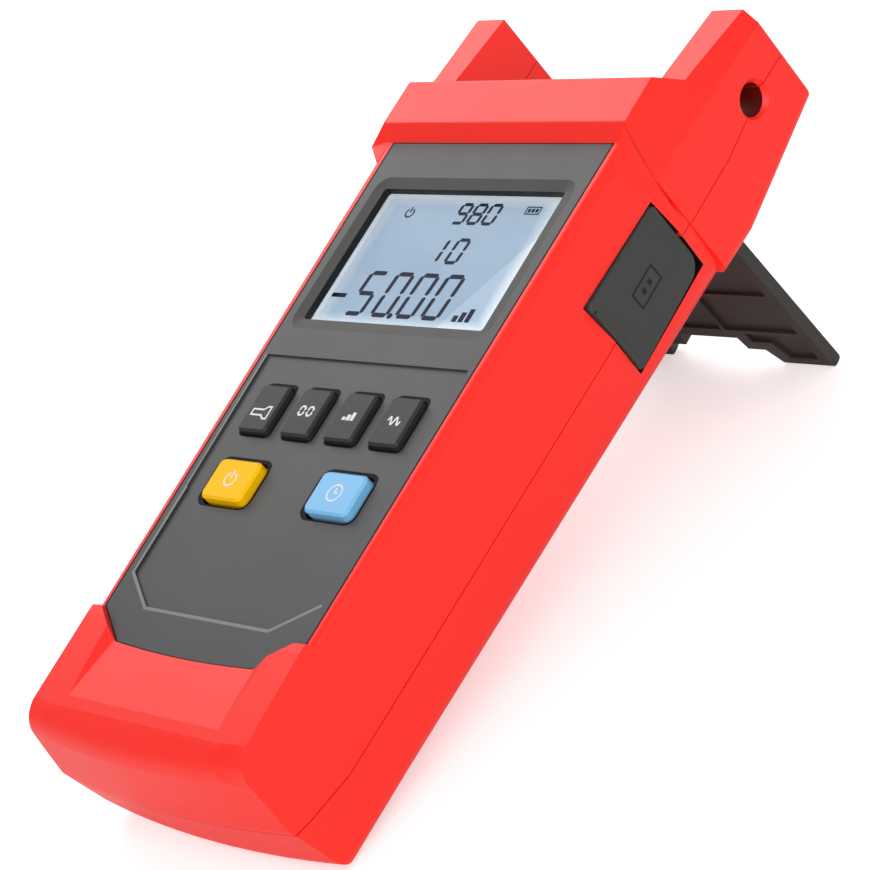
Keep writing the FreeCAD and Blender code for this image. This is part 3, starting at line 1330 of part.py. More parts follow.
def make_stand():
    """The stand in its own frame: axis along x at the origin, leg down y, inner face forwards."""
    body = new_body("kickstand")
    barrel_sketch = circles(body, "stand_barrel", "YZ", "0", [("0", "0")], "barrel")
    add(body, barrel_sketch, "2 * stand_half", symmetric=True)
    leg = body_sketch(body, "stand_leg", "XY", "-barrel")
    outline(leg, mirrored([
        ("notch_half - notch_slope", "notch_depth - stand_length"),
        ("notch_half", "notch_step - stand_length"),
        ("toe_half - toe_slope", "notch_step - stand_length"),
        ("toe_half", "-stand_length"),
        ("stand_half", "-stand_length"),
        ("stand_half", "0")]))
    add(body, leg, "stand_thick")
    low = size("-stand_length")
    soften(body, "stand_toes", "toe_round",
           lambda edge: runs_along(edge, 0) and abs(edge.CenterOfMass.y - low) < 0.01)
    face = "stand_thick - barrel"
    fields = body_sketch(body, "stand_fields", "XY", face)
    inside = "(stand_half - stand_rim)"
    half_rib = "(rib_width / 2)"
    rectangle(fields, f"-{inside}", inside, f"-(rib_near - {half_rib})", "-(barrel + stand_rim / 2)")
    middle_low, middle_high = f"-(rib_far - {half_rib})", f"-(rib_near + {half_rib})"
    rectangle(fields, f"-(rib_x - {half_rib})", f"rib_x - {half_rib}", middle_low, middle_high)
    for side in (1, -1):
        sign = "" if side > 0 else "-"
        near, far = f"{sign}(rib_x + {half_rib})", f"{sign}{inside}"
        rectangle(fields, *((near, far) if side > 0 else (far, near)), middle_low, middle_high)
        toe_corners = [
            (f"{sign}(notch_half + stand_rim)", f"-(rib_far + {half_rib})"),
            (f"{sign}(notch_half + stand_rim)", "notch_step + stand_rim - stand_length"),
            (f"{sign}(toe_half + stand_rim / 4)", "notch_step + stand_rim - stand_length"),
            (f"{sign}(toe_half + stand_rim)", "stand_rim - stand_length"),
            (far, "stand_rim - stand_length"),
            (far, f"-(rib_far + {half_rib})")]
        outline(fields, toe_corners)
    cut(body, fields, "stand_sink")
    pins = circles(body, "stand_pins", "YZ", "0", [("0", "0")], "pin_radius")
    add(body, pins, "2 * (stand_half + pin_length)", symmetric=True)
    return body


def lean():
    """The tilt at which the heel and the stand's toes touch one plane, in degrees."""
    draft, slope, radius = size("rear_draft"), size(BACK_SLOPE), size("heel_round")
    end = radius * math.hypot(1, draft) + size("foot_end - rear_draft * parting_foot_depth")
    back = radius * math.hypot(1, slope) - size(back_depth("0"))
    heel_y = (end - draft * back) / (1 - draft * slope)
    heel_z = back - slope * heel_y
    opened = math.radians(size("stand_open"))
    along, aside = size("toe_round - stand_length"), size("stand_thick - barrel - toe_round")
    toe_y = size("stand_y") + along * math.cos(opened) - aside * math.sin(opened)
    toe_z = -size("stand_depth") + along * math.sin(opened) + aside * math.cos(opened)
    reach = math.hypot(toe_y - heel_y, toe_z - heel_z)
    rise = math.atan2(toe_z - heel_z, toe_y - heel_y)
    return math.degrees(math.asin(size("toe_round - heel_round") / reach) - rise)


def place_all(pieces, stand):
    """Leans every piece on the stand, lowest point at zero, over the middle of its footprint."""
    tilt = Rotation(Vector(1, 0, 0), lean())
    opened = Placement(Vector(0, size("stand_y"), -size("stand_depth")),
                       Rotation(Vector(1, 0, 0), size("stand_open")))
    spots = []
    for piece in pieces:
        own = opened if piece is stand else Placement()
        mesh = piece.Shape.tessellate(0.02)
        spots += [tilt.multVec(own.multVec(spot)) for spot in mesh[0]]
    low = [min(spot[axis] for spot in spots) for axis in range(3)]
    high = [max(spot[axis] for spot in spots) for axis in range(3)]
    shift = Vector(-(low[0] + high[0]) / 2, -(low[1] + high[1]) / 2, -low[2])
    whole = Placement(shift, tilt)
    for piece in pieces:
        piece.Placement = whole.multiply(opened) if piece is stand else whole


def main():
    envelope = make_envelope()
    front_side = parting_side("front_side", "0")
    case = make_case(envelope)
    tail = f"{TAIL_Y} - detector_base_thick - carrier_thick"
    stand = make_stand()
    pieces = [
        make_front_shell(case, front_side),
        make_rear_shell(case, envelope, front_side),
        make_front_panel(),
        *make_display_stack(),
        make_board("main_board", BOARD_FRONT, "board_low", "board_high", "board_half",
                   post_places(), [("0", "post_low + 6"), ("-post_x / 2", "rear_post_low")]),
        make_board("rear_board", REAR_BOARD_FRONT, "rear_board_low", tail, "rear_board_half",
                   rear_post_places(), [("0", "socket_y")]),
        make_header(),
        make_key_mat(),
        *[make_key(f"small_key_{number}", place, "")
          for number, place in enumerate(small_key_places(), start=1)],
        make_key("power_key", big_key_places()[0], "big_"),
        make_key("mode_key", big_key_places()[1], "big_"),
        make_side_cover(),
        make_socket(),
        make_port(),
        make_sleeve(),
        make_nut(),
        make_detector(),
        make_carrier(),
        make_door(),
        *[make_cell(f"cell_{number + 1}", f"({number} - 1) * cell_pitch", number == 1)
          for number in range(3)],
        *make_contacts(),
        stand,
        make_screws("case_screws", boss_places(), "-screw_recess",
                    "screw_head", "screw_head_high", "screw_shank", "screw_length", hidden=False),
        make_screws("board_screws", post_places(), BOARD_BACK,
                    "small_head", "small_head_high", "small_shank", "small_length"),
        make_screws("rear_board_screws", rear_post_places(), REAR_BOARD_FRONT, "small_head",
                    "small_head_high", "small_shank", "small_length", behind=False),
        make_screws("door_screw", [("0", "door_screw_y")], f"-({DOOR_INSIDE} + door_web)",
                    "small_head", "small_head_high", "small_shank", "door_screw_length",
                    hidden=False)]
    place_all(pieces, stand)
    doc.recompute()
    for item in doc.Objects:
        if "Invalid" in item.State or "Error" in item.State:
            raise ValueError(f"{item.Name} has the state {item.State}")
    os.makedirs("parts", exist_ok=True)
    for piece in pieces:
        if piece.Shape.isNull() or not piece.Shape.isValid():
            raise ValueError(f"{piece.Name} has no valid shape")
        piece.Label = piece.Name
        piece.Shape.exportStep(f"parts/{piece.Name}.step")


main()
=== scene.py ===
import math

import bpy
from mathutils import Matrix, Vector


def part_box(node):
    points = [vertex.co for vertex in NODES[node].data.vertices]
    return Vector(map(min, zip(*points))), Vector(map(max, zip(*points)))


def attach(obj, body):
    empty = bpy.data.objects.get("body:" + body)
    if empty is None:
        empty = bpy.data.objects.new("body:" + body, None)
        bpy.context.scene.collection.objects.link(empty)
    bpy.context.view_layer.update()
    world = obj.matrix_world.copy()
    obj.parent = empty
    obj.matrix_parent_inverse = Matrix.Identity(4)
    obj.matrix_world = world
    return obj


# Handheld optical power meter on its stand: finishes, printed marks, light and camera.
# Sizes are millimetres in the case frame: x to the right, y up the case, z out of the dark panel,
# with 0 on the panel's face.

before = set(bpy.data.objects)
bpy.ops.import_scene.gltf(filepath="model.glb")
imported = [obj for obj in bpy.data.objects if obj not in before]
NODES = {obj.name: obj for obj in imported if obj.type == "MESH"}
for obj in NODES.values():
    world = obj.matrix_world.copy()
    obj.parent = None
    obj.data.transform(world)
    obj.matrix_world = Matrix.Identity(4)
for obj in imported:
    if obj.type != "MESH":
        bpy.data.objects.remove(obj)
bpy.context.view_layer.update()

# Sizes of the part

TILT = math.radians(17.955834)
WINDOW_CENTRE = Vector((0, 91.8, -2.6))

OPENING_HALF, OPENING_LOW, OPENING_HIGH = 27.2, 74.1, 109.5
BEVEL_WIDE, BEVEL_DEEP = 2.8, 0.5
PANEL_BACK = -2.2
DISPLAY_FACE = -3.0

DECK_FACE = -0.5
DECK_FOOT_HALF, DECK_FOOT = 19.2, 1.0
DECK_LOW_HALF, DECK_LOW = 29.4, 8.4
DECK_HIGH = 64.2
PANEL_HALF_LOW, PANEL_HALF_HIGH, PANEL_HIGH = 31.4, 33.05, 121.9
FOOT_BOW_HALF, FOOT_BOW_LOW, FOOT_BOW_RISE = 21.4, -7.4, 0.9

SMALL_KEYS = (1, 2, 3, 4)
SMALL_KEY_PITCH, SMALL_KEY_Y, SMALL_KEY_RISE = 13.35, 50.2, 1.0
SMALL_HOLE_HALF, SMALL_HOLE_HALF_HIGH, SMALL_HOLE_CORNER = 4.64, 6.14, 1.3
BIG_KEY_X, BIG_KEY_Y, BIG_KEY_RISE = 16.1, 32.2, 1.3
BIG_HOLE_HALF, BIG_HOLE_HALF_HIGH, BIG_HOLE_CORNER = 7.19, 5.59, 2.3
KEYS_LOW, KEYS_HIGH = 25, 60

STRAP_HORN_X, STRAP_Y, STRAP_Z, STRAP_REACH = 30, 150.6, -19.8, 3.64
COVER_FACE = 37.7
SEAT_X, SEAT_Y, SEAT_Z = (34.0, 37.4), (89.1, 117.5), (-33.2, -12.0)
CASE_SCREWS = [(-27, -15), (27, -15), (-33.6, 138), (33.6, 138)]
CASE_SCREW_HEADS = -33.0
DOOR_SCREWS = [(0, 70.2)]
DOOR_SCREW_HEADS = -38.0

PRINT = 0.015
SCREW_PRINT = 0.02
SCREW_LINE = 0.7


def case_matrix():
    """From the case frame in millimetres to the row frame in metres."""
    low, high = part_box("display_window")
    turned = Matrix.Rotation(TILT, 4, "X") @ Matrix.Scale(0.001, 4)
    return Matrix.Translation((low + high) / 2 - turned @ WINDOW_CENTRE) @ turned


CASE = case_matrix()
UNCASE = CASE.inverted()

# Finishes: a colour is given as it shows, each channel from 0 to 255

GLOSS_SPREAD = 0.04
GLOSS_PATCHES = 70.0
STAIN_SHADE = 0.94
STAIN_AMOUNT = 0.25
STAIN_PATCHES = 26.0
BUMP_STRENGTH = 0.5


def linear(channel):
    part = channel / 255
    return part / 12.92 if part <= 0.04045 else ((part + 0.055) / 1.055) ** 2.4


def colour(red, green, blue):
    return (linear(red), linear(green), linear(blue), 1)


def finish(name, rgb, roughness, metallic=0.0, grain=900.0, depth=0.00002, alpha=1.0,
           specular=0.5, glow=0.0):
    """A moulded, cast or plated surface with fine grain, uneven gloss and faint stains."""
    material = bpy.data.materials.new(name)
    material.use_nodes = True
    tree = material.node_tree
    shader = tree.nodes["Principled BSDF"]
    place = tree.nodes.new("ShaderNodeTexCoord").outputs["Object"]
    shader.inputs["Metallic"].default_value = metallic
    shader.inputs["Specular IOR Level"].default_value = specular
    shader.inputs["Alpha"].default_value = alpha
    shader.inputs["Emission Strength"].default_value = glow

    def noise(scale, detail):
        node = tree.nodes.new("ShaderNodeTexNoise")
        node.inputs["Scale"].default_value = scale
        node.inputs["Detail"].default_value = detail
        tree.links.new(place, node.inputs["Vector"])
        return node.outputs["Fac"]

    gloss = tree.nodes.new("ShaderNodeMapRange")
    gloss.inputs["To Min"].default_value = roughness - GLOSS_SPREAD
    gloss.inputs["To Max"].default_value = roughness + GLOSS_SPREAD
    tree.links.new(noise(GLOSS_PATCHES, 3.0), gloss.inputs["Value"])
    tree.links.new(gloss.outputs["Result"], shader.inputs["Roughness"])

    stain = tree.nodes.new("ShaderNodeMapRange")
    stain.inputs["From Min"].default_value = 0.45
    stain.inputs["From Max"].default_value = 0.75
    stain.inputs["To Max"].default_value = STAIN_AMOUNT
    tree.links.new(noise(STAIN_PATCHES, 4.0), stain.inputs["Value"])
    tint = tree.nodes.new("ShaderNodeMix")
    tint.data_type = "RGBA"
    tint.inputs["A"].default_value = colour(*rgb)
    tint.inputs["B"].default_value = colour(*[channel * STAIN_SHADE for channel in rgb])
    tree.links.new(stain.outputs["Result"], tint.inputs["Factor"])
    tree.links.new(tint.outputs["Result"], shader.inputs["Base Color"])

    bump = tree.nodes.new("ShaderNodeBump")
    bump.inputs["Strength"].default_value = BUMP_STRENGTH
    bump.inputs["Distance"].default_value = depth
    tree.links.new(noise(grain, 2.0), bump.inputs["Height"])
    tree.links.new(bump.outputs["Normal"], shader.inputs["Normal"])
    material.diffuse_color = colour(*rgb)
    return material


RED = finish("case_red", (254, 34, 20), 0.42, grain=1400.0, depth=0.000012, specular=0.42)
# A dark red for the strap hole's wall: painted shade inside the hole
SHADED_RED = finish("bore_shade_red", (96, 6, 6), 0.6, grain=1400.0, specular=0.2)
PANEL = finish("panel_grey", (68, 68, 68), 0.46, grain=2200.0, depth=0.00001, specular=0.4)
# A darker grey for the bevel round the display opening: painted shade
BEVEL_SHADE = finish("bevel_shade_grey", (60, 59, 57), 0.5, grain=2200.0, depth=0.00001, specular=0.3)
# Black for printed signs, for the display opening's inner walls, and painted shade in the key
# holes and screw recesses
BLACK_PRINT_AND_SHADE = finish("print_and_shade_black", (20, 20, 21), 0.55, specular=0.3)
# Black for the dark joint round the panel, and painted shade round the keys and in the side
# cover's seat
SEAM_AND_SHADE = finish("seam_and_shade_black", (16, 12, 12), 0.7, specular=0.2)
# A light grey along the key deck's edge: painted highlight
EDGE_HIGHLIGHT = finish("edge_highlight_grey", (118, 120, 118), 0.45)
WINDOW = finish("window_clear", (40, 44, 48), 0.35, depth=0.000002, alpha=0.05, specular=0.2)
WINDOW_BACK = finish("window_back", (40, 44, 48), 0.35, depth=0.000002, alpha=0.005)
# The display's pale colour, with a painted glow from its emission
PALE = finish("display_pale", (176, 196, 214), 0.4, grain=3000.0, depth=0.000004, specular=0.3,
              glow=0.3)
SEGMENT = finish("segment_navy", (20, 24, 52), 0.5, specular=0.1)
# A lighter grey along the lower and right edges of the large keys' lips: painted highlight
LIP_HIGHLIGHT = finish("lip_highlight_grey", (92, 84, 82), 0.5, specular=0.3)
LEGEND = finish("legend_white", (226, 228, 228), 0.5)
KEY = finish("key_dark", (44, 44, 45), 0.48, grain=1600.0, specular=0.32)
YELLOW = finish("key_yellow", (255, 196, 0), 0.5, grain=1200.0, specular=0.14)
BLUE = finish("key_blue", (128, 192, 238), 0.4, grain=1200.0, specular=0.3)
COVER = finish("cover_dark", (58, 59, 58), 0.6, grain=1800.0, depth=0.00003, specular=0.35)
STAND = finish("stand_dark", (48, 46, 43), 0.5, grain=1500.0, specular=0.4)
SOCKET = finish("socket_steel", (176, 178, 180), 0.32, metallic=1.0)
PORT = finish("port_metal", (188, 188, 186), 0.26, metallic=1.0, grain=2600.0)
SLEEVE = finish("sleeve_white", (236, 236, 232), 0.3)
SCREW = finish("screw_steel", (120, 121, 124), 0.34, metallic=1.0)
FOAM = finish("foam_black", (26, 26, 27), 0.85, grain=2500.0, depth=0.00006)
LIGHT = finish("light_white", (238, 240, 240), 0.4)
BOARD = finish("board_green", (26, 92, 52), 0.45, grain=1000.0)
HEADER = finish("header_black", (30, 30, 31), 0.5)
MAT = finish("mat_grey", (150, 152, 154), 0.7)
CELL = finish("cell_can", (70, 96, 128), 0.35)
CONTACT = finish("contact_metal", (200, 196, 184), 0.3, metallic=1.0)

FINISHES = {
    "front_shell": RED, "rear_shell": RED, "battery_door": RED,
    "front_panel": PANEL, "display_window": WINDOW, "display_gasket": FOAM,
    "display_glass": PALE, "light_guide": LIGHT, "main_board": BOARD, "rear_board": BOARD,
    "board_header": HEADER, "key_mat": MAT, "power_key": YELLOW, "mode_key": BLUE,
    "small_key_1": KEY, "small_key_2": KEY, "small_key_3": KEY, "small_key_4": KEY,
    "side_cover": COVER, "side_socket": SOCKET, "optical_port": PORT, "port_nut": PORT,
    "ferrule_sleeve": SLEEVE, "detector": SOCKET, "detector_carrier": BOARD,
    "cell_1": CELL, "cell_2": CELL, "cell_3": CELL, "contact_leaves": CONTACT,
    "contact_plates": CONTACT, "kickstand": STAND, "case_screws": SCREW,
    "board_screws": SCREW, "rear_board_screws": SCREW, "door_screw": SCREW,
}
for node, material in FINISHES.items():
    NODES[node].data.materials.clear()
    NODES[node].data.materials.append(material)

# Single faces with a finish of their own, several of them painted shade: a test chooses them by
# their middle in the case frame

def dress(node, material, chosen):
    mesh = NODES[node].data
    mesh.materials.append(material)
    for face in mesh.polygons:
        if chosen(UNCASE @ face.center):
            face.material_index = len(mesh.materials) - 1


def near_opening(middle, reach):
    return (abs(middle.x) < OPENING_HALF + reach
            and OPENING_LOW - reach < middle.y < OPENING_HIGH + reach)


def on_window_back(middle):
    """The window's back touches the display, so it is almost fully clear."""
    return middle.z < DISPLAY_FACE + 0.05


# The bevel's faces, which take the painted shade
def on_bevel(middle):
    return 0.05 - BEVEL_DEEP < middle.z < -0.05 and near_opening(middle, BEVEL_WIDE + 0.1)


# The inner walls of the display opening, drawn black
def on_opening_wall(middle):
    return middle.z < -BEVEL_DEEP - 0.01 and near_opening(middle, 0.1)


# The walls of the key holes, drawn black as painted shade
def on_key_hole_wall(middle):
    return PANEL_BACK + 0.05 < middle.z < DECK_FACE - 0.01 and KEYS_LOW < middle.y < KEYS_HIGH


# The faces inside the strap hole, which take the painted shade
def in_shaded_strap_hole(middle):
    from_axis = math.hypot(middle.y - STRAP_Y, middle.z - STRAP_Z)
    return middle.x > STRAP_HORN_X and from_axis < STRAP_REACH


# The seat under the side cover, drawn black as painted shade
def in_shaded_cover_seat(middle):
    return all(low < value < high for value, (low, high) in zip(middle, (SEAT_X, SEAT_Y, SEAT_Z)))


dress("display_window", WINDOW_BACK, on_window_back)
dress("front_panel", BEVEL_SHADE, on_bevel)
dress("front_panel", BLACK_PRINT_AND_SHADE, on_opening_wall)
dress("front_panel", BLACK_PRINT_AND_SHADE, on_key_hole_wall)
for shell in ("front_shell", "rear_shell"):
    dress(shell, SHADED_RED, in_shaded_strap_hole)
    dress(shell, SEAM_AND_SHADE, in_shaded_cover_seat)

# The display's painted glow: a painted highlight, paler towards the edges that show through the
# opening

DISPLAY_EDGE_HIGHLIGHT = (240, 246, 250)
DISPLAY_FADES = (("X", 20.5, 23.6), ("X", -26.0, -28.2), ("Y", 78.5, 75.8), ("Y", 108.4, 109.9))


def light_up_display():
    tree = PALE.node_tree
    shader = tree.nodes["Principled BSDF"]
    place = tree.nodes.new("ShaderNodeMapping")
    place.vector_type = "TEXTURE"
    place.inputs["Location"].default_value = CASE.translation
    place.inputs["Rotation"].default_value = (TILT, 0, 0)
    place.inputs["Scale"].default_value = (0.001, 0.001, 0.001)
    spot = tree.nodes.new("ShaderNodeTexCoord").outputs["Object"]
    tree.links.new(spot, place.inputs["Vector"])
    parts = tree.nodes.new("ShaderNodeSeparateXYZ")
    tree.links.new(place.outputs["Vector"], parts.inputs["Vector"])
    total = None
    for axis, start, end in DISPLAY_FADES:
        ramp = tree.nodes.new("ShaderNodeMapRange")
        ramp.inputs["From Min"].default_value = start
        ramp.inputs["From Max"].default_value = end
        tree.links.new(parts.outputs[axis], ramp.inputs["Value"])
        if total is None:
            total = ramp.outputs["Result"]
            continue
        larger = tree.nodes.new("ShaderNodeMath")
        larger.operation = "MAXIMUM"
        tree.links.new(total, larger.inputs[0])
        tree.links.new(ramp.outputs["Result"], larger.inputs[1])
        total = larger.outputs["Value"]
    tint = tree.nodes.new("ShaderNodeMix")
    tint.data_type = "RGBA"
    tree.links.new(total, tint.inputs["Factor"])
    tree.links.new(shader.inputs["Base Color"].links[0].from_socket, tint.inputs["A"])
    tint.inputs["B"].default_value = colour(*DISPLAY_EDGE_HIGHLIGHT)
    tree.links.new(tint.outputs["Result"], shader.inputs["Base Color"])
    tree.links.new(tint.outputs["Result"], shader.inputs["Emission Color"])


light_up_display()

# Flat marks: strokes and plates on planes of the case frame

CORNER_STEPS = 6
SHARPEST_MITRE = 0.35


def stroke(path, width, closed=False):
    """Quads along a path, with mitred corners."""
    count = len(path)
    sides = []
    for index, (x, y) in enumerate(path):
        before = path[index - 1] if index or closed else None
        after = path[(index + 1) % count] if index < count - 1 or closed else None
        steps = [Vector((x, y)) - Vector(before)] if before else []
        steps += [Vector(after) - Vector((x, y))] if after else []
        steps = [step.normalized() for step in steps]
        along = sum(steps, Vector((0, 0))).normalized()
        stretch = 1 / max(SHARPEST_MITRE, along.dot(steps[0]))
        across = Vector((-along.y, along.x)) * width / 2 * stretch
        sides.append((Vector((x, y)) + across, Vector((x, y)) - across))
    return quads(sides, closed)


def quads(sides, closed):
    """Quads between the two points of each pair and those of the next."""
    pairs = list(zip(sides, sides[1:]))
    if closed:
        pairs.append((sides[-1], sides[0]))
    return [[first[0], first[1], second[1], second[0]] for first, second in pairs]


def arc(centre, radius, start, end, steps=24):
    turns = [math.radians(start + (end - start) * step / steps) for step in range(steps + 1)]
    return [(centre[0] + radius * math.cos(turn), centre[1] + radius * math.sin(turn))
            for turn in turns]


def circle(centre, radius):
    return arc(centre, radius, 0, 360)[:-1]


def plate(left, right, low, high):
    return [(left, low), (right, low), (right, high), (left, high)]


def rounded(left, right, low, high, corner):
    """A rectangle with round corners, from its lower left corner anticlockwise."""
    points = arc((left + corner, low + corner), corner, 180, 270, CORNER_STEPS)
    points += arc((right - corner, low + corner), corner, 270, 360, CORNER_STEPS)
    points += arc((right - corner, high - corner), corner, 0, 90, CORNER_STEPS)
    return points + arc((left + corner, high - corner), corner, 90, 180, CORNER_STEPS)


def on_front(height):
    return lambda point: (point[0], point[1], height)


def on_side(x):
    """A point (y, z) on a plane of the right side."""
    return lambda point: (x, point[0], point[1])


def add_mesh(name, corners, faces, material):
    mesh = bpy.data.meshes.new(name)
    mesh.from_pydata([CASE @ Vector(corner) for corner in corners], [], faces)
    mesh.materials.append(material)
    piece = bpy.data.objects.new(name, mesh)
    bpy.context.scene.collection.objects.link(piece)
    return piece


def marks(name, faces, place, material, body):
    """One flat object of all those faces, laid on a plane, riding on a body."""
    corners = []
    loops = []
    for face in faces:
        loops.append(range(len(corners), len(corners) + len(face)))
        corners += [place(point) for point in face]
    piece = add_mesh(name, corners, loops, material)
    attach(piece, body)


# Seven-segment figures: each segment runs between two places on a grid of 2 by 3

SEGMENTS = {"a": (0, 2, 1, 2), "b": (1, 1, 1, 2), "c": (1, 0, 1, 1), "d": (0, 0, 1, 0),
            "e": (0, 0, 0, 1), "f": (0, 1, 0, 2), "g": (0, 1, 1, 1)}
FIGURES = {"0": "abcdef", "1": "bc", "5": "afgcd", "8": "abcdefg", "9": "abcdfg"}
SEGMENT_GAP = 0.1
SEGMENT_POINT = 0.4


def figure(sign, left, low, width, high, thick, lean=0.0):
    """One seven-segment figure inside its box, its segments with pointed ends."""
    faces = []
    wide, tall = width - thick, high - thick
    for name in FIGURES[sign]:
        x1, y1, x2, y2 = SEGMENTS[name]
        start = Vector((left + thick / 2 + x1 * wide, low + thick / 2 + y1 * tall / 2))
        end = Vector((left + thick / 2 + x2 * wide, low + thick / 2 + y2 * tall / 2))
        along = (end - start).normalized()
        across = Vector((-along.y, along.x)) * thick / 2
        start += along * thick * SEGMENT_GAP
        end -= along * thick * SEGMENT_GAP
        near = start + along * thick * SEGMENT_POINT
        far = end - along * thick * SEGMENT_POINT
        shape = [start, near - across, far - across, end, far + across, near + across]
        faces.append([(point.x + lean * (point.y - low), point.y) for point in shape])
    return faces


def power_sign(centre, radius, gap, stem_low, stem_high, line):
    """An open ring with a stem, between two angles that leave the gap at its top."""
    x, y = centre
    ring = stroke(arc(centre, radius, 90 + gap, 450 - gap), line)
    return ring + stroke([(x, y + stem_low), (x, y + stem_high)], line)


# Display

LEAN = 0.08
LARGE_ROW = (("5", -19.6), ("0", -11.4), ("0", -3.75), ("0", 3.9))
TOP_ROW = (("9", -4.1), ("8", 0.3), ("0", 4.7))
MIDDLE_ROW = (("1", -5.2), ("0", 0.9))


def figure_row(row, low, width, high, thick):
    return [face for sign, left in row
            for face in figure(sign, left, low, width, high, thick, LEAN)]


def battery_sign():
    body = stroke(plate(16.0, 20.0, 105.6, 107.4), 0.3, closed=True)
    return body + [plate(left, left + 0.8, 106.0, 107.0) for left in (16.5, 17.6, 18.7)]


def level_bars():
    return [plate(13.6 + 1.9 * step, 15.0 + 1.9 * step, 77.6, 79.2 + 0.9 * step)
            for step in range(3)]


minus = stroke([(-26.5, 82.6), (-22.0, 82.6)], 1.1)
segments = minus + figure_row(LARGE_ROW, 77.5, 5.8, 11.9, 1.15) + [circle((-5.0, 78.0), 0.75)]
segments += figure_row(TOP_ROW, 102.3, 3.8, 5.8, 0.85)
segments += figure_row(MIDDLE_ROW, 91.9, 4.2, 6.9, 0.9)
segments += power_sign((-18.3, 105.1), 1.15, 35, 0.1, 1.6, 0.42)
segments += battery_sign() + level_bars()
marks("display_segments", segments, on_front(DISPLAY_FACE + 0.04), SEGMENT, "case")

# Panel: a painted highlight along the key deck's edge, and the dark joint round the panel

deck_line = [(-29.8, 30.0), (-DECK_LOW_HALF, DECK_LOW), (-DECK_FOOT_HALF, DECK_FOOT),
             (DECK_FOOT_HALF, DECK_FOOT), (DECK_LOW_HALF, DECK_LOW)]
deck_side = [(-30.85, DECK_HIGH), (-30.0, 30.0)]
deck_edge_highlight = stroke(deck_line, 0.75) + stroke(deck_side, 0.5)
marks("deck_edge_highlight", deck_edge_highlight, on_front(PRINT), EDGE_HIGHLIGHT, "case")


def foot_bow():
    """The panel's bowed lower edge, from right to left."""
    parts = [1 - step / 5 for step in range(11)]
    return [(FOOT_BOW_HALF * part, FOOT_BOW_LOW - FOOT_BOW_RISE * (1 - part ** 2))
            for part in parts]


right_edge = [(PANEL_HALF_HIGH, PANEL_HIGH), (PANEL_HALF_LOW, 0.0)]
left_edge = [(-x, y) for x, y in reversed(right_edge)]
panel_edge = right_edge + foot_bow() + left_edge
marks("panel_joint", stroke(panel_edge, 0.42, closed=True), on_front(0.02), SEAM_AND_SHADE, "case")

# Keys: painted shadow in dark collars round their holes, painted highlights on the lips below the
# large ones, and the symbols on the caps

def small_key_place(number):
    return (number - 2.5) * SMALL_KEY_PITCH, SMALL_KEY_Y


def hole(x, y, half, half_high, corner):
    return rounded(x - half, x + half, y - half_high, y + half_high, corner)


# The collars are wider above the holes: painted shadow of the gaps round the keys
shadow_collars = []
lip_highlights = []
for number in SMALL_KEYS:
    x, y = small_key_place(number)
    rim = rounded(x - 5.1, x + 5.1, y - 6.5, y + 7.1, 1.7)
    edge = hole(x, y, SMALL_HOLE_HALF, SMALL_HOLE_HALF_HIGH, SMALL_HOLE_CORNER)
    shadow_collars += quads(list(zip(edge, rim)), closed=True)
for x in (-BIG_KEY_X, BIG_KEY_X):
    y = BIG_KEY_Y
    rim = rounded(x - 8.9, x + 8.1, y - 6.2, y + 6.4, 2.9)
    edge = hole(x, y, BIG_HOLE_HALF, BIG_HOLE_HALF_HIGH, BIG_HOLE_CORNER)
    shadow_collars += quads(list(zip(edge, rim)), closed=True)
    # Only the lip's lower and right edge: painted highlight
    lip_highlights += stroke(rim[2:17], 0.4)
marks("key_shadow_collars", shadow_collars, on_front(DECK_FACE + PRINT), SEAM_AND_SHADE, "case")
marks("key_lip_highlights", lip_highlights, on_front(DECK_FACE + 2 * PRINT), LIP_HIGHLIGHT, "case")


def torch(x, y):
    body = [(-2.6, -1.9), (0.6, -1.9), (1.6, -2.7), (2.6, -2.7), (2.6, 0.3), (1.6, 0.3),
            (0.6, -0.5), (-2.6, -0.5)]
    return stroke([(x + right, y + up) for right, up in body], 0.42, closed=True)


def noughts(x, y):
    return [face for left in (x - 2.2, x + 0.3)
            for face in figure("0", left, y - 1.1, 1.9, 2.6, 0.5)]


def bars(x, y):
    return [plate(x - 1.7 + 1.2 * step, x - 0.7 + 1.2 * step, y - 1.0, y - 0.2 + 0.6 * step)
            for step in range(3)]


def wave(x, y):
    path = [(x - 1.8 + 0.18 * step, y + 0.9 * math.sin(math.tau * step / 10))
            for step in range(21)]
    return stroke(path, 0.45)


def clock(x, y):
    hands = stroke([(x, y + 1.2), (x, y), (x + 0.9, y)], 0.4)
    return stroke(circle((x, y), 1.9), 0.4, closed=True) + hands


small_top = on_front(SMALL_KEY_RISE + PRINT)
for number, symbol in zip(SMALL_KEYS, (torch, noughts, bars, wave)):
    faces = symbol(*small_key_place(number))
    marks(f"key_{number}_symbol", faces, small_top, LEGEND, f"small_key_{number}_cap")
big_top = on_front(BIG_KEY_RISE + PRINT)
power = power_sign((-BIG_KEY_X, BIG_KEY_Y), 1.6, 30, 0.2, 2.2, 0.42)
marks("power_symbol", power, big_top, LEGEND, "power_key_cap")
marks("mode_symbol", clock(BIG_KEY_X, BIG_KEY_Y), big_top, LEGEND, "mode_key_cap")

# Head: the sloping facets that join it to the sides

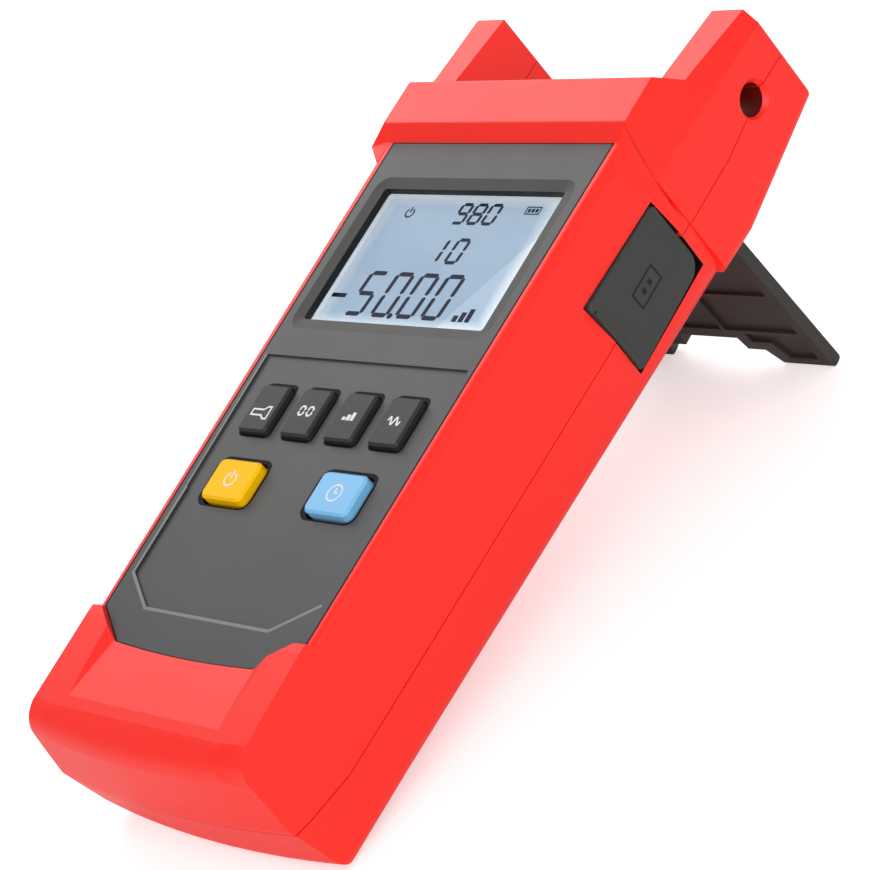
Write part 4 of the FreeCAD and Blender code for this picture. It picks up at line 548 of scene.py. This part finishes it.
FACET_CORNERS = [(36.2, 124.7, 2.9), (39.5, 120.7, 0), (38.6, 119.9, -13), (38.4, 119.2, -22),
                 (35.2, 116.6, -0.3), (36.8, 117.35, -10), (38.0, 117.35, -22),
                 (34.0, 123.5, 0.2), (34.0, 117.4, -2.5), (35.5, 118.6, -12), (37.2, 118.6, -22)]
FACET_FACES = [(0, 1, 2), (0, 2, 3), (1, 4, 5, 2), (2, 5, 6, 3), (0, 7, 4, 1), (7, 8, 4),
               (4, 8, 9, 5), (5, 9, 10, 6), (3, 6, 10), (0, 3, 10, 9, 7), (7, 9, 8)]


def flare(name, side):
    """A closed wedge under the head's corner, from the crest back to the middle of the side."""
    corners = [(side * x, y, z) for x, y, z in FACET_CORNERS]
    faces = FACET_FACES if side > 0 else [face[::-1] for face in FACET_FACES]
    piece = add_mesh(name, corners, faces, RED)
    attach(piece, "case")


flare("head_facet_right", 1)
flare("head_facet_left", -1)

# Side cover: a plain socket sign. Screws: black crosses on their heads, painted shade for the
# cross recesses

socket_sign = stroke(plate(99.4, 107.4, -24.6, -20.4), 0.5, closed=True)
socket_sign += [plate(101.6, 102.8, -23.2, -21.8), plate(104.0, 105.2, -23.2, -21.8)]
marks("socket_sign", socket_sign, on_side(COVER_FACE + 0.02), BLACK_PRINT_AND_SHADE, "cover")


def shade_crosses(name, places, reach, heads):
    faces = []
    for x, y in places:
        faces += [plate(x - reach, x + reach, y - SCREW_LINE / 2, y + SCREW_LINE / 2),
                  plate(x - SCREW_LINE / 2, x + SCREW_LINE / 2, y - reach, y + reach)]
    marks(name, faces, on_front(heads), BLACK_PRINT_AND_SHADE, "case")


shade_crosses("case_screw_shade_crosses", CASE_SCREWS, 1.6, CASE_SCREW_HEADS - SCREW_PRINT)
shade_crosses("door_screw_shade_cross", DOOR_SCREWS, 1.2, DOOR_SCREW_HEADS - SCREW_PRINT / 2)

# Stage, light and camera: the stage and the lamps are placed in metres in the row frame

LIT_POINT = Vector((0, 0, 0.05))
WORLD_LEVEL = 0.52
FLOOR_COLOUR = (246, 246, 246)
FLOOR_SEEN = 0.45
CAMERA_PLACE = Vector((451.7, -159.4, 328.9))
CAMERA_FORWARD = Vector((-0.7332, 0.3635, -0.5747))
CAMERA_RIGHT = Vector((0.6761, 0.48, -0.559))


def lamp(name, direction, distance, size, power, aside=(0, 0, 0)):
    light = bpy.data.lights.new(name, "AREA")
    light.shape = "SQUARE"
    light.size = size
    light.energy = power
    holder = bpy.data.objects.new(name, light)
    aim = Vector(direction).normalized()
    holder.location = LIT_POINT + aim * distance + Vector(aside)
    holder.rotation_euler = aim.to_track_quat("Z", "Y").to_euler()
    bpy.context.scene.collection.objects.link(holder)


def backdrop_level(tree, plain, seen):
    """A strength that is higher for rays that come straight from the camera."""
    rays = tree.nodes.new("ShaderNodeLightPath")
    level = tree.nodes.new("ShaderNodeMapRange")
    level.inputs["To Min"].default_value = plain
    level.inputs["To Max"].default_value = seen
    tree.links.new(rays.outputs["Is Camera Ray"], level.inputs["Value"])
    return level.outputs["Result"]


def make_floor():
    bpy.ops.mesh.primitive_plane_add(size=6, location=(0, 0, 0))
    floor = bpy.context.object
    floor.name = "floor"
    material = bpy.data.materials.new("floor_white")
    material.use_nodes = True
    tree = material.node_tree
    shader = tree.nodes["Principled BSDF"]
    shader.inputs["Base Color"].default_value = colour(*FLOOR_COLOUR)
    shader.inputs["Roughness"].default_value = 0.9
    shader.inputs["Specular IOR Level"].default_value = 0.1
    shader.inputs["Emission Color"].default_value = (1, 1, 1, 1)
    tree.links.new(backdrop_level(tree, 0.0, FLOOR_SEEN), shader.inputs["Emission Strength"])
    floor.data.materials.append(material)


def make_world():
    world = bpy.data.worlds.new("studio")
    world.use_nodes = True
    tree = world.node_tree
    background = tree.nodes["Background"]
    tree.links.new(backdrop_level(tree, WORLD_LEVEL, 1.0), background.inputs["Strength"])
    background.inputs["Color"].default_value = (1, 1, 1, 1)
    bpy.context.scene.world = world


def make_camera():
    """The photograph's viewpoint, found in the case frame."""
    camera = bpy.data.cameras.new("camera")
    camera.lens = 123.6
    camera.sensor_width = 36
    holder = bpy.data.objects.new("camera", camera)
    forward = CAMERA_FORWARD.normalized()
    down = forward.cross(CAMERA_RIGHT).normalized()
    right = down.cross(forward)
    turned = Matrix((right, -down, -forward)).transposed().to_4x4()
    place = Matrix.Translation(CASE @ CAMERA_PLACE)
    holder.matrix_world = place @ Matrix.Rotation(TILT, 4, "X") @ turned
    bpy.context.scene.collection.objects.link(holder)
    bpy.context.scene.camera = holder


make_floor()
make_world()
lamp("key_light", (-0.73, 0.17, 0.66), 0.9, 0.7, 3.9, aside=(0, 0.24, 0))
lamp("fill_light", (0.72, -0.58, 0.5), 1.0, 0.8, 6.0)
make_camera()
bpy.context.scene.view_settings.view_transform = "Standard"
